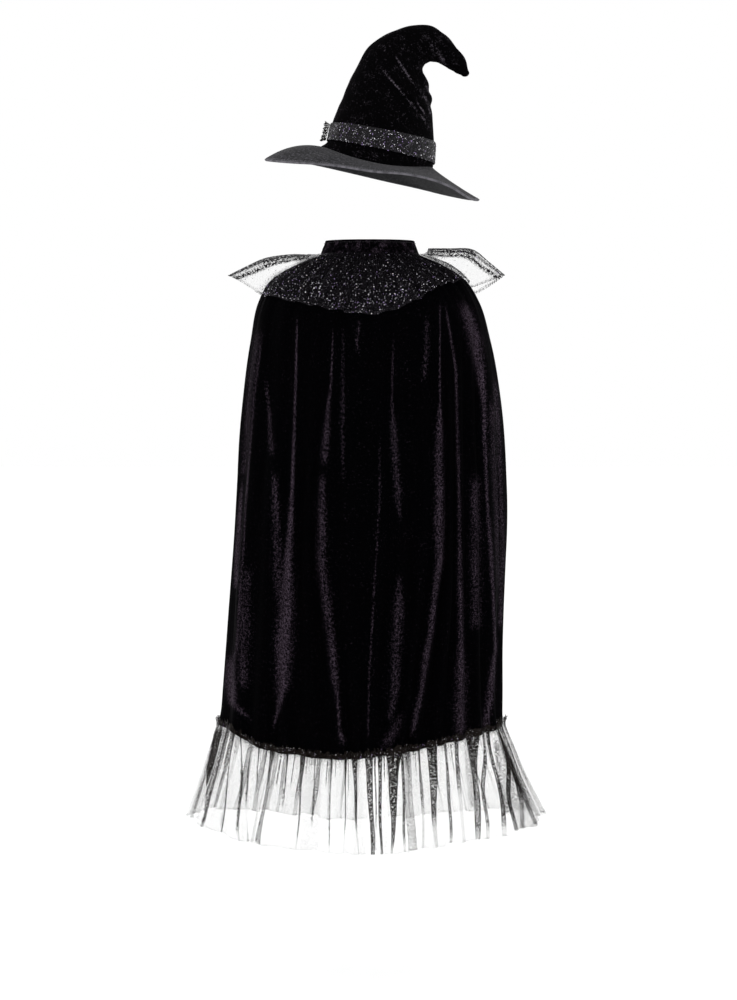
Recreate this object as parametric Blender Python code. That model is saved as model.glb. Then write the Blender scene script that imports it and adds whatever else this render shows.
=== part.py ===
# A child's witch costume in the pose it is worn in: a velvet cape with a stand collar, a gathered net frill
# over the shoulders and another along the hem, and a pointed velvet hat with a felt brim.
# Metres, +Z up. The wearer faces +Y, so the back of the cape faces -Y and +X is the wearer's right.
# The origin is the middle of the neck, level with the collar seam.

import math
from collections import namedtuple

import bpy
import numpy as np

# Cloth thicknesses, and the gap that is left between pieces at a seam
VELVET = 0.0016
COLLAR_VELVET = 0.0024
NET = 0.0010
GLITTER_CLOTH = 0.0012
FELT = 0.0030
SEAM_GAP = 0.0003

# Cape: its cloth is measured down from the neck seam
CAPE_LENGTH = 0.756
SQUARENESS = 2.25  # 2 is an ellipse, and more is squarer
FRONT_EDGE_AT_NECK = 0.010  # from the centre front
FRONT_EDGE_AT_HEM = 0.013
FRONT_OPENING_SHIFT = 0.024  # how far right the opening hangs at the hem
COLUMNS_PER_FOLD = 6
CAPE_ROWS = (0.0, 0.036, 0.074, 0.112, 0.19, 0.30, 0.45, 0.61, CAPE_LENGTH)
FOLD_LEVELS = (0.15, 0.45, 0.74)  # where the fold tables give positions

# Shoulder frill
SHOULDER_FRILL_ROWS = 4
SHOULDER_FRILL_CLEAR = 0.0020

# Hem frill
HEM_FRILL_BELOW = 0.138
HEM_FRILL_MORE_AT_SIDES = 0.009
HEM_FRILL_MORE_AT_RIGHT = 0.003
HEM_FRILL_HEADING = 0.012
HEM_FRILL_CLEAR = 0.0016
HEM_FRILL_COLUMNS_PER_GATHER = 6  # two of its columns to each of the cape's
HEM_FRILL_FLARE = 0.022
HEM_FRILL_MORE_FLARE_LEFT = 0.016
HEM_FRILL_MORE_FLARE_RIGHT = 0.033

# Stand collar
COLLAR_TOP = 0.0215
COLLAR_UNDERLAP = 0.006
COLLAR_LEAN = 0.0075
COLLAR_INSET = 0.0007
COLLAR_FRONT_GAP_DEG = 4.5
COLLAR_COLUMNS = 44
TAB_LENGTH_DEG = 19.0
TAB_BOTTOM, TAB_TOP = 0.004, 0.018

# Hat
HAT_COLUMNS = 32
BAND_ROWS = (1, 2)  # the crown rings at the lower and upper edge of the band
BAND_CLEAR = 0.0007
BRIM_RADIUS = 0.1640
BRIM_SHIFT = -0.007
BRIM_SEAM_DROP = 0.0024
BRIM_INNER_SHARE = 0.95
BRIM_ROWS = (0.0, 0.3, 0.65, 1.0)

# Rings of the cape. Widths and depths are to the crests of the folds.
Section = namedtuple("Section", "down half_width back front side_z back_z front_z middle_x")
SECTIONS = (
    Section(0.000, 0.075, 0.058, 0.056, 0.0000, 0.0000, -0.0120, 0.0020),
    Section(0.030, 0.103, 0.077, 0.076, -0.0100, -0.0230, -0.0345, 0.0010),
    Section(0.060, 0.130, 0.093, 0.092, -0.0235, -0.0485, -0.0600, 0.0000),
    Section(0.090, 0.152, 0.104, 0.103, -0.0420, -0.0760, -0.0880, 0.0000),
    Section(0.120, 0.167, 0.110, 0.109, -0.0690, -0.1055, -0.1170, 0.0010),
    Section(0.180, 0.182, 0.117, 0.116, -0.1270, -0.1650, -0.1765, 0.0035),
    Section(0.270, 0.196, 0.122, 0.120, -0.2160, -0.2550, -0.2660, 0.0060),
    Section(0.400, 0.203, 0.126, 0.125, -0.3460, -0.3850, -0.3930, 0.0050),
    Section(0.540, 0.208, 0.131, 0.131, -0.4860, -0.5250, -0.5300, -0.0010),
    Section(0.660, 0.210, 0.136, 0.136, -0.6060, -0.6450, -0.6480, -0.0085),
    Section(0.756, 0.214, 0.140, 0.140, -0.7040, -0.7360, -0.7410, -0.0115),
)

# Crests of the folds, by their distance right of the centre line as seen from behind, at three levels.
# A side fold's distance is past the outline, which puts its crest on the outline.
Fold = namedtuple("Fold", "x_top x_middle x_hem deep_middle deep_hem")
LEFT_FRONT_FOLDS = (
    Fold(-0.036, -0.040, -0.034, 0.005, 0.010),
    Fold(-0.064, -0.078, -0.076, 0.007, 0.012),
    Fold(-0.096, -0.118, -0.127, 0.006, 0.011),
    Fold(-0.124, -0.150, -0.160, 0.007, 0.012),
    Fold(-0.150, -0.180, -0.192, 0.006, 0.010),
    Fold(-0.240, -0.250, -0.260, 0.006, 0.009),
)
BACK_FOLDS = (
    Fold(-0.159, -0.183, -0.198, 0.006, 0.009),
    Fold(-0.130, -0.146, -0.161, 0.005, 0.008),
    Fold(-0.103, -0.113, -0.127, 0.007, 0.013),
    Fold(-0.079, -0.091, -0.084, 0.005, 0.008),
    Fold(-0.049, -0.069, -0.040, 0.009, 0.013),
    Fold(-0.025, -0.030, -0.017, 0.006, 0.005),
    Fold(0.014, 0.015, 0.003, 0.007, 0.009),
    Fold(0.040, 0.050, 0.034, 0.009, 0.010),
    Fold(0.078, 0.080, 0.051, 0.006, 0.005),
    Fold(0.102, 0.107, 0.070, 0.009, 0.013),
    Fold(0.117, 0.121, 0.103, 0.004, 0.009),
    Fold(0.133, 0.136, 0.136, 0.008, 0.012),
    Fold(0.150, 0.158, 0.164, 0.006, 0.009),
    Fold(0.167, 0.181, 0.189, 0.007, 0.009),
)
RIGHT_FRONT_FOLDS = (
    Fold(0.240, 0.250, 0.260, 0.006, 0.009),
    Fold(0.152, 0.178, 0.187, 0.007, 0.011),
    Fold(0.126, 0.152, 0.158, 0.006, 0.010),
    Fold(0.098, 0.116, 0.122, 0.007, 0.012),
    Fold(0.066, 0.084, 0.096, 0.006, 0.011),
    Fold(0.038, 0.052, 0.066, 0.005, 0.010),
)
FOLD_COUNT = len(LEFT_FRONT_FOLDS) + len(BACK_FOLDS) + len(RIGHT_FRONT_FOLDS)
LEFT_SEAM = len(LEFT_FRONT_FOLDS) + 0.5  # the side seams lie in the troughs next to the back folds
RIGHT_SEAM = LEFT_SEAM + len(BACK_FOLDS)
LAST_EDGE = FOLD_COUNT + 1
GATHER_DEEP = 0.0016  # the depth of the folds just under the neck seam
TOP_SHARE = 0.55  # the depth at the top level, as a share of the depth at the middle one

# Flutes of the shoulder frill: where each crest is, counted in folds from the left front edge, and how far it
# stands off the cape at the frill's edge, and how much of that is added upwards. The two high ones are the wings
# on the shoulders.
Flute = namedtuple("Flute", "at lift rise")
FLUTES = (
    Flute(1.2, 0.010, 0.3),
    Flute(2.6, 0.013, 0.3),
    Flute(4.0, 0.011, 0.3),
    Flute(5.8, 0.057, 0.06),
    Flute(7.6, 0.010, 0.3),
    Flute(8.8, 0.007, 0.3),
    Flute(10.0, 0.010, 0.3),
    Flute(11.2, 0.013, 0.3),
    Flute(12.4, 0.009, 0.3),
    Flute(13.6, 0.012, 0.3),
    Flute(14.8, 0.010, 0.3),
    Flute(16.0, 0.013, 0.3),
    Flute(17.2, 0.011, 0.3),
    Flute(18.4, 0.017, 0.3),
    Flute(19.6, 0.016, 0.3),
    Flute(21.2, 0.060, 0.25),
    Flute(23.0, 0.013, 0.3),
    Flute(24.4, 0.010, 0.3),
    Flute(25.8, 0.012, 0.3),
)

# The width of the shoulder frill, by the same count of folds. It is drawn up behind the right shoulder.
FRILL_WIDTHS = (
    (0, 0.112),
    (6, 0.112),
    (11, 0.107),
    (14, 0.104),
    (16, 0.092),
    (18, 0.084),
    (19.6, 0.086),
    (21.2, 0.106),
    (23, 0.112),
    (27, 0.112),
)

# Rings of the hat's crown, by their left and right ends as seen from behind. Each ring's back and front hang
# below the line between its ends by back_drop and front_drop.
HatRing = namedtuple("HatRing", "left_x left_z right_x right_z middle_y back_drop front_drop")
HAT_RINGS = (
    HatRing(-0.0715, 0.1625, 0.0960, 0.1314, 0.010, 0.0160, -0.0080),
    HatRing(-0.0610, 0.1710, 0.0970, 0.1365, 0.009, 0.0020, -0.0020),
    HatRing(-0.0545, 0.1965, 0.0980, 0.1685, 0.007, 0.0015, -0.0010),
    HatRing(-0.0465, 0.2170, 0.0960, 0.1935, 0.005, 0.0, 0.0),
    HatRing(-0.0390, 0.2350, 0.0945, 0.2160, 0.003, 0.0, 0.0),
    HatRing(-0.0315, 0.2520, 0.0930, 0.2310, 0.001, 0.0, 0.0),
    HatRing(-0.0240, 0.2680, 0.0900, 0.2460, -0.001, 0.0, 0.0),
    HatRing(-0.0090, 0.2960, 0.0850, 0.2640, -0.003, 0.0, 0.0),
    HatRing(0.0080, 0.3165, 0.0810, 0.2760, -0.004, 0.0, 0.0),
    HatRing(0.0325, 0.3310, 0.0835, 0.2830, -0.005, 0.0, 0.0),
    HatRing(0.0620, 0.3405, 0.0890, 0.2870, -0.006, 0.0, 0.0),
    HatRing(0.0910, 0.3405, 0.0975, 0.2875, -0.006, 0.0, 0.0),
    HatRing(0.1130, 0.3280, 0.1060, 0.2850, -0.006, 0.0, 0.0),
    HatRing(0.1295, 0.3105, 0.1160, 0.2790, -0.005, 0.0, 0.0),
    HatRing(0.1435, 0.2920, 0.1270, 0.2730, -0.004, 0.0, 0.0),
    HatRing(0.1490, 0.2745, 0.1380, 0.2680, -0.003, 0.0, 0.0),
)
HAT_TIP = (0.1475, -0.003, 0.2665)

# Creases of the crown under its bend, from one end to the other as seen from behind. Both faces have them.
Crease = namedtuple("Crease", "from_x from_z to_x to_z high half_wide")
CREASES = (
    Crease(0.012, 0.292, 0.086, 0.204, 0.0045, 0.0085),
    Crease(0.032, 0.306, 0.080, 0.244, 0.0045, 0.0080),
    Crease(0.048, 0.262, 0.094, 0.226, 0.0035, 0.0070),
    Crease(0.078, 0.330, 0.090, 0.290, 0.0030, 0.0070),
)

# How far the brim's edge hangs below the crown's lowest ring, by degrees round from the centre back, to the right
BRIM_DROPS = (
    (0, 0.035),
    (20, 0.029),
    (32, 0.0285),
    (45, 0.032),
    (62, 0.040),
    (90, 0.034),
    (115, 0.030),
    (135, 0.026),
    (150, 0.022),
    (180, 0.017),
    (205, 0.015),
    (225, 0.017),
    (250, 0.025),
    (270, 0.034),
    (290, 0.039),
    (315, 0.040),
    (340, 0.036),
)

# The little net frill that covers the join of the hat band, on its left side
BAND_FRILL_OUT = 0.007
BAND_FRILL_WAVES = 3
BAND_FRILL_COLUMNS = 13
BAND_FRILL_WAVE = 0.0025
BAND_FRILL_OVERHANG = -0.001

# Materials: colour, roughness
VELVET_LOOK = ("black_velvet", (0.008, 0.007, 0.011), 0.75)
NET_LOOK = ("black_glitter_net", (0.03, 0.028, 0.034), 0.5)
FELT_LOOK = ("charcoal_felt", (0.045, 0.044, 0.052), 0.95)
GLITTER_LOOK = ("black_glitter_cloth", (0.06, 0.055, 0.065), 0.35)


def smooth(at, places, values):
    # A smooth curve through the values at the places, which rise. Past the ends it keeps the end values.
    places = np.asarray(places, float)
    values = np.asarray(values, float)
    slopes = np.gradient(values, places)
    at = np.clip(np.asarray(at, float), places[0], places[-1])
    low = np.clip(np.searchsorted(places, at, side="right") - 1, 0, len(places) - 2)
    step = places[low + 1] - places[low]
    t = (at - places[low]) / step
    return (
        (2 * t**3 - 3 * t**2 + 1) * values[low]
        + (t**3 - 2 * t**2 + t) * step * slopes[low]
        + (3 * t**2 - 2 * t**3) * values[low + 1]
        + (t**3 - t**2) * step * slopes[low + 1]
    )


def smooth_around(degrees, table):
    # The same for a table that closes on itself after a full turn.
    places = [row[0] + turn for turn in (-360, 0, 360) for row in table]
    values = [row[1] for _ in range(3) for row in table]
    return smooth(np.mod(degrees, 360), places, values)


def section_at(down):
    columns = zip(*SECTIONS)
    places = [row.down for row in SECTIONS]
    return Section(*(float(smooth(down, places, column)) for column in columns))


def unit(vectors):
    return vectors / np.maximum(np.linalg.norm(vectors, axis=-1, keepdims=True), 1e-12)


def plain_ring(section, angles):
    # Points of a ring with no folds. An angle of 0 is the centre back, and it grows to the wearer's right.
    sine, cosine = np.sin(angles), np.cos(angles)
    depth = np.where(cosine > 0, section.back, section.front)
    radius = ((np.abs(sine) / section.half_width) ** SQUARENESS + (np.abs(cosine) / depth) ** SQUARENESS) ** (-1 / SQUARENESS)
    end_z = np.where(cosine > 0, section.back_z, section.front_z)
    return np.stack(
        [
            section.middle_x + radius * sine,
            -radius * cosine,
            section.side_z + (end_z - section.side_z) * cosine**2,
        ],
        axis=-1,
    )


def crest_angles(section, down):
    # The angle of each front edge and fold crest, from the left front edge round the back to the right one.
    half = np.linspace(0, math.pi / 2, 181)
    places = {}
    for name, angles in (("back", half), ("front", math.pi - half)):
        points = plain_ring(section, angles)
        places[name] = (points[:, 0] - section.middle_x, angles)

    def angle_of(x, side):
        far, angles = places[side]
        return math.copysign(float(np.interp(abs(x), far, angles)), x)

    def edge_angle(x, side):
        # The opening may hang across the centre line, so this counts on past half a turn.
        return side * (math.pi - math.copysign(math.pi - abs(angle_of(x, "front")), x * side))

    known = section_at(max(down, FOLD_LEVELS[0]))  # above the top level the folds fan in to the neck

    def crest_x(fold):
        x = float(smooth(down, FOLD_LEVELS, (fold.x_top, fold.x_middle, fold.x_hem)))
        return (x - known.middle_x) * section.half_width / known.half_width

    edge = np.interp(down, (0, CAPE_LENGTH), (FRONT_EDGE_AT_NECK, FRONT_EDGE_AT_HEM))
    shift = FRONT_OPENING_SHIFT * down / CAPE_LENGTH
    angles = [edge_angle(shift - edge, -1)]
    for folds, side in ((LEFT_FRONT_FOLDS, "front"), (BACK_FOLDS, "back"), (RIGHT_FRONT_FOLDS, "front")):
        angles += [angle_of(crest_x(fold), side) for fold in folds]
    angles.append(edge_angle(shift + edge, 1))
    return np.array(angles)


def fold_depths(down):
    deep = [0.0]
    for fold in LEFT_FRONT_FOLDS + BACK_FOLDS + RIGHT_FRONT_FOLDS:
        deep.append(
            float(
                np.interp(
                    down,
                    (0, CAPE_ROWS[1], FOLD_LEVELS[0], FOLD_LEVELS[1], FOLD_LEVELS[2]),
                    (0, GATHER_DEEP, TOP_SHARE * fold.deep_middle, fold.deep_middle, fold.deep_hem),
                )
            )
        )
    deep.append(0.0)
    return np.array(deep)


def unfolded(at, down):
    # Points of the cape before its folds are pressed in. "at" counts folds from the left front edge.
    section = section_at(down)
    around = np.linspace(-1.1 * math.pi, 1.1 * math.pi, 1585)
    points = plain_ring(section, around)
    steps = np.linalg.norm(np.diff(points, axis=0), axis=1)
    length = np.concatenate([[0], np.cumsum(steps)])
    crests = np.interp(crest_angles(section, down), around, length)
    place = np.interp(at, np.arange(LAST_EDGE + 1), crests)
    return plain_ring(section, np.interp(place, length, around))


def cape_row(at, down):
    # Points of the outer face of the cape, one for each place in "at".
    reach = 0.002
    above, below = max(down - reach, 0), min(down + reach, CAPE_LENGTH)
    along = unfolded(at, below) - unfolded(at, above)
    across = unfolded(at + 0.05, down) - unfolded(at - 0.05, down)
    out = unit(np.cross(along, across))
    deep = np.interp(at, np.arange(LAST_EDGE + 1), fold_depths(down))
    return unfolded(at, down) - out * (deep * (1 - np.cos(2 * math.pi * at)) / 2)[:, None]


def lay_on(grid, down):
    # Points of the cape at a distance down it for each column, on its flat faces.
    row = np.interp(down, CAPE_ROWS, np.arange(len(CAPE_ROWS)))
    low = np.minimum(row.astype(int), len(CAPE_ROWS) - 2)
    share = (row - low)[:, None]
    columns = np.arange(grid.shape[1])
    return grid[low, columns] * (1 - share) + grid[low + 1, columns] * share


def cape_grid():
    at = np.linspace(0, LAST_EDGE, LAST_EDGE * COLUMNS_PER_FOLD + 1)
    return np.array([cape_row(at, down) for down in CAPE_ROWS])


def look(name, colour, roughness):
    material = bpy.data.materials.get(name)
    if material is None:
        material = bpy.data.materials.new(name)
        material.use_nodes = True
        shader = material.node_tree.nodes["Principled BSDF"]
        shader.inputs["Base Color"].default_value = (*colour, 1)
        shader.inputs["Roughness"].default_value = roughness
    return material


def outward(grid, closed=False):
    # Directions out of a grid whose rows run down and whose columns run round, to the right at the back.
    if closed:
        across = np.roll(grid, -1, axis=1) - np.roll(grid, 1, axis=1)
    else:
        across = np.gradient(grid, axis=1)
    return unit(np.cross(np.gradient(grid, axis=0), across))


def sheet(name, grid, out, thickness, finish, closed=False, tip=None):
    # A wall of cloth whose outer face is the grid. "out" holds the directions out of it.
    rows, columns = grid.shape[:2]
    outer = [tuple(p) for p in grid.reshape(-1, 3)]
    inner = [tuple(p) for p in (grid - out * thickness).reshape(-1, 3)]
    if tip is not None:
        outer.append(tuple(tip))
        inner.append(tuple(np.array(tip) - unit(np.array(tip) - grid[0].mean(axis=0)) * thickness))
    size = len(outer)
    faces = []
    for row in range(rows - 1):
        for column in range(columns if closed else columns - 1):
            a = row * columns + column
            b = row * columns + (column + 1) % columns
            faces.append((a, a + columns, b + columns, b))
    if tip is not None:
        faces += [(size - 1, column, (column + 1) % columns) for column in range(columns)]
    faces += [tuple(size + corner for corner in reversed(face)) for face in faces]
    last = (rows - 1) * columns
    for column in range(columns if closed else columns - 1):
        beside = (column + 1) % columns
        faces.append((last + column, size + last + column, size + last + beside, last + beside))
        if tip is None:
            faces.append((beside, size + beside, size + column, column))
    if not closed:
        for row in range(rows - 1):
            a, b = row * columns, (row + 1) * columns
            faces.append((a, size + a, size + b, b))
            a, b = a + columns - 1, b + columns - 1
            faces.append((b, size + b, size + a, a))
    mesh = bpy.data.meshes.new(name)
    mesh.from_pydata(outer + inner, [], faces)
    mesh.shade_smooth()
    mesh.materials.append(look(*finish))
    part = bpy.data.objects.new(name, mesh)
    bpy.context.scene.collection.objects.link(part)
    return part


def panel(name, grid, out, first, last, thickness, finish):
    # The columns from first to last of a whole grid. Next to another panel the edge is drawn in by half a gap.
    ends = slice(first, last + 1)
    points = grid[:, ends].copy()
    half_gap = SEAM_GAP * 0.7
    if first > 0:
        points[:, 0] += unit(points[:, 1] - points[:, 0]) * half_gap
    if last < grid.shape[1] - 1:
        points[:, -1] += unit(points[:, -2] - points[:, -1]) * half_gap
    sheet(name, points, out[:, ends], thickness, finish)


def hem_frill_grid(cape, out):
    # The net is gathered onto the outside of the hem, with a short heading above the seam.
    number = np.arange(2 * cape.shape[1] - 1)
    low = np.minimum(number // 2, cape.shape[1] - 2)
    share = (number / 2 - low)[:, None]

    def spread(row):
        return row[low] * (1 - share) + row[low + 1] * share

    hem, above = spread(cape[-1]), spread(cape[-2])
    off_hem = unit(spread(out[-1]))
    level_out = unit(unit(spread(cape[-1] - cape[-1].mean(axis=0))) * (1, 1, 0))
    heading = hem + (above - hem) * HEM_FRILL_HEADING / (CAPE_ROWS[-1] - CAPE_ROWS[-2])
    gather = (1 - np.cos(2 * math.pi * number / HEM_FRILL_COLUMNS_PER_GATHER)) / 2
    uneven = 0.55 + 0.45 * np.sin(0.41 * number) * np.sin(0.23 * number + 1)
    sideways = level_out[:, 0]
    more = np.where(sideways < 0, HEM_FRILL_MORE_FLARE_LEFT, HEM_FRILL_MORE_FLARE_RIGHT)
    flare = HEM_FRILL_FLARE + more * sideways**2
    length = HEM_FRILL_BELOW + HEM_FRILL_MORE_AT_SIDES * sideways**2 + HEM_FRILL_MORE_AT_RIGHT * sideways
    drop = np.sqrt(length**2 - flare**2) - 0.004 * uneven
    rows = []
    for base, fallen, flared, high in (
        (heading, 0.0, 0.0, 0.0030),
        (hem, 0.0, 0.0, 0.0014),
        (hem, 0.45, 0.38, 0.0070),
        (hem, 1.0, 1.0, 0.0110),
    ):
        away = flare * flared + high * gather * (uneven if fallen else 1)
        rows.append(base + off_hem * HEM_FRILL_CLEAR + level_out * away[:, None] - np.outer(drop * fallen, (0, 0, 1)))
    return np.array(rows)


def build_cape_and_hem_frill(cape, out):
    frill = hem_frill_grid(cape, out)
    frill_out = outward(frill)
    seams = (0, round(LEFT_SEAM * COLUMNS_PER_FOLD), round(RIGHT_SEAM * COLUMNS_PER_FOLD), cape.shape[1] - 1)
    for side, first, last in zip(("left_front", "back", "right_front"), seams[:-1], seams[1:]):
        panel("cape_" + side, cape, out, first, last, VELVET, VELVET_LOOK)
        panel("hem_frill_" + side, frill, frill_out, 2 * first, 2 * last, NET, NET_LOOK)


def build_shoulder_frill(cape, out):
    at = np.linspace(0, LAST_EDGE, cape.shape[1])
    crests = [flute.at for flute in FLUTES]
    phase = np.interp(at, [-0.2] + crests + [LAST_EDGE + 0.2], np.arange(len(FLUTES) + 2))
    lifts = np.interp(at, crests, [flute.lift for flute in FLUTES])
    rises = np.interp(at, crests, [flute.rise for flute in FLUTES])
    wave = (1 + np.cos(2 * math.pi * phase)) / 2
    widths = smooth(at, *zip(*FRILL_WIDTHS))
    rows = []
    for number in range(SHOULDER_FRILL_ROWS):
        down = widths if number == SHOULDER_FRILL_ROWS - 1 else np.full(len(at), CAPE_ROWS[number])
        share = down / widths
        base = lay_on(cape, down)
        away = unit(lay_on(out, down))
        lean = unit(away + np.outer(rises * share, (0, 0, 1)))
        risen = np.sin(share * math.pi / 2) ** 1.2
        rows.append(base + away * SHOULDER_FRILL_CLEAR + lean * (lifts * wave * risen)[:, None])
    grid = np.array(rows)[:, 1:-1]
    sheet("shoulder_frill", grid, outward(grid), NET, NET_LOOK)


def neck_points(angles, z, lean, outset):
    ring = section_at(0.0)
    shrunk = ring._replace(
        half_width=ring.half_width - lean + outset,
        back=ring.back - lean + outset,
        front=ring.front - lean + outset,
    )
    points = plain_ring(shrunk, angles)
    points[:, 2] += z
    return points


def build_collar():
    end = math.pi - math.radians(COLLAR_FRONT_GAP_DEG)
    angles = np.linspace(-end, end, COLLAR_COLUMNS)
    rows = []
    for z in (COLLAR_TOP, (COLLAR_TOP - COLLAR_UNDERLAP) / 2, -COLLAR_UNDERLAP):
        lean = COLLAR_LEAN * max(z, 0) / COLLAR_TOP
        rows.append(neck_points(angles, z, lean, -COLLAR_INSET))
    grid = np.array(rows)
    sheet("stand_collar", grid, outward(grid), COLLAR_VELVET, VELVET_LOOK)


def build_tab():
    # The hook-and-loop tab that closes the collar at the front lies on the outside of both its ends.
    reach = math.radians(TAB_LENGTH_DEG)
    angles = np.linspace(math.pi - reach, math.pi + reach, 7)
    rows = []
    for z in (TAB_TOP, TAB_BOTTOM):
        lean = COLLAR_LEAN * z / COLLAR_TOP
        rows.append(neck_points(angles, z, lean, VELVET + 2 * SEAM_GAP - COLLAR_INSET))
    grid = np.array(rows)
    sheet("neck_tab", grid, outward(grid), VELVET, VELVET_LOOK)


def crown_ring(ring, angles):
    # An angle of 0 is the back of the ring, and it grows to the wearer's right.
    left = np.array((ring.left_x, ring.middle_y, ring.left_z))
    right = np.array((ring.right_x, ring.middle_y, ring.right_z))
    middle, half = (left + right) / 2, (right - left) / 2
    sine, cosine = np.sin(angles), np.cos(angles)
    points = middle + np.outer(sine, half)
    points[:, 1] -= np.linalg.norm(half) * cosine
    points[:, 2] -= np.where(cosine > 0, ring.back_drop, ring.front_drop) * cosine**2
    return points


def crown_grid():
    # Rows run from the top down.
    angles = np.linspace(0, 2 * math.pi, HAT_COLUMNS, endpoint=False)
    grid = np.array([crown_ring(ring, angles) for ring in reversed(HAT_RINGS)])
    out = outward(grid, closed=True)
    raised = np.zeros(grid.shape[:2])
    for crease in CREASES:
        start = np.array((crease.from_x, crease.from_z))
        way = np.array((crease.to_x, crease.to_z)) - start
        flat = grid[:, :, (0, 2)] - start
        share = np.clip((flat @ way) / (way @ way), 0, 1)
        away = np.linalg.norm(flat - share[..., None] * way, axis=2)
        fade = np.sin(math.pi * np.clip(share, 0.06, 0.94))
        facing = np.abs(out[:, :, 1])
        raised += crease.high * fade * facing * np.exp(-((away / crease.half_wide) ** 2))
    band_top = len(HAT_RINGS) - 1 - BAND_ROWS[1]
    raised[band_top:] = 0
    return grid + out * raised[..., None]


def build_crown_and_band():
    grid = crown_grid()
    sheet("hat_crown", grid, outward(grid, closed=True), VELVET, VELVET_LOOK, closed=True, tip=HAT_TIP)
    last = len(HAT_RINGS) - 1
    upper, lower = (last - BAND_ROWS[1], last - BAND_ROWS[0])
    rows = np.array([grid[upper], grid[lower]])
    band = rows + outward(rows, closed=True) * (GLITTER_CLOTH + BAND_CLEAR)
    sheet("hat_band", band, outward(band, closed=True), GLITTER_CLOTH, GLITTER_LOOK, closed=True)
    build_band_frill(band)


def build_band_frill(band):
    # It stands out from the band's left side.
    left = round(HAT_COLUMNS * 3 / 4)
    top, bottom = band[0, left], band[-1, left]
    way = unit(top - bottom)
    out = outward(band, closed=True)[1, left]
    side = np.cross(way, out)
    share = np.linspace(0, 1, BAND_FRILL_COLUMNS)
    height = np.linalg.norm(top - bottom) + BAND_FRILL_OVERHANG
    wave = np.sin(2 * math.pi * BAND_FRILL_WAVES * share)
    rows = []
    for away in (1.0, 0.5, 0.0):
        spread = (share - 0.5) * (1 + 0.25 * away) + 0.5
        rows.append(
            bottom
            + np.outer(spread * height, way)
            + out * (SEAM_GAP + NET / 2 + BAND_FRILL_OUT * away)
            + np.outer(wave * BAND_FRILL_WAVE * (0.35 + 0.65 * away), side)
        )
    grid = np.array(rows)
    sheet("band_frill", grid, outward(grid), NET, NET_LOOK)


def build_brim():
    angles = np.linspace(0, 2 * math.pi, HAT_COLUMNS, endpoint=False)
    ring = HAT_RINGS[0]
    seam = crown_ring(ring, angles)
    seam[:, 2] -= BRIM_SEAM_DROP
    middle = np.array(((ring.left_x + ring.right_x) / 2, ring.middle_y, (ring.left_z + ring.right_z) / 2))
    right = unit(np.array((ring.right_x - ring.left_x, 0, ring.right_z - ring.left_z)))
    sine, cosine = np.sin(angles), np.cos(angles)
    edge = middle + np.outer(BRIM_RADIUS * sine + BRIM_SHIFT, right)
    edge[:, 1] -= BRIM_RADIUS * cosine
    edge_drop = smooth_around(np.degrees(angles), BRIM_DROPS)
    seam_drop = np.where(cosine > 0, ring.back_drop, ring.front_drop) * cosine**2 + BRIM_SEAM_DROP
    bend = 1.5 - 0.65 * sine  # 1 is a straight slope, and more bends down near the edge
    inner = seam.copy()
    inner[:, :2] = middle[:2] + (seam[:, :2] - middle[:2]) * BRIM_INNER_SHARE
    rows = [inner]
    for share in BRIM_ROWS:
        flat_seam = seam + np.outer(seam_drop, (0, 0, 1))
        points = flat_seam + (edge - flat_seam) * share
        points[:, 2] -= seam_drop + (edge_drop - seam_drop) * share**bend
        rows.append(points)
    grid = np.array(rows)
    sheet("hat_brim", grid, outward(grid, closed=True), FELT, FELT_LOOK, closed=True)


def main():
    for thing in list(bpy.data.objects):
        bpy.data.objects.remove(thing)
    cape = cape_grid()
    out = outward(cape)
    build_cape_and_hem_frill(cape, out)
    build_shoulder_frill(cape, out)
    build_collar()
    build_tab()
    build_crown_and_band()
    build_brim()


main()
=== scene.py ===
# The finish of the witch costume: crushed velvet, glitter net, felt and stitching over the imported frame.
# Metres, +Z up. The wearer faces +Y, so the back of the cape faces -Y.

import math

import bpy
import numpy as np
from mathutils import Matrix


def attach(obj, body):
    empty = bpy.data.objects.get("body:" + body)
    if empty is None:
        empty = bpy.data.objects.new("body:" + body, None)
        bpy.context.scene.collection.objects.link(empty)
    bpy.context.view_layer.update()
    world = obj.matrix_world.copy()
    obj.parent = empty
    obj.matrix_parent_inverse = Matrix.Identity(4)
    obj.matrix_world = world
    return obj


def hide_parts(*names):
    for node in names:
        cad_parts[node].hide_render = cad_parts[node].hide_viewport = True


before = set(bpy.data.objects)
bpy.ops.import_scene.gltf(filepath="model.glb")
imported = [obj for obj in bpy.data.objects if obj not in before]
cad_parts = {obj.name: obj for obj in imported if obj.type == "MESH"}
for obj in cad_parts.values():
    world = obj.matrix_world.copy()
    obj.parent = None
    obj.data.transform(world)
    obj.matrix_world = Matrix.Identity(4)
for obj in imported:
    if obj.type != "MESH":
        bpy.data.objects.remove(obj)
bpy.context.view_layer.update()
print("frame loaded,", len(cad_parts), "nodes")

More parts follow.
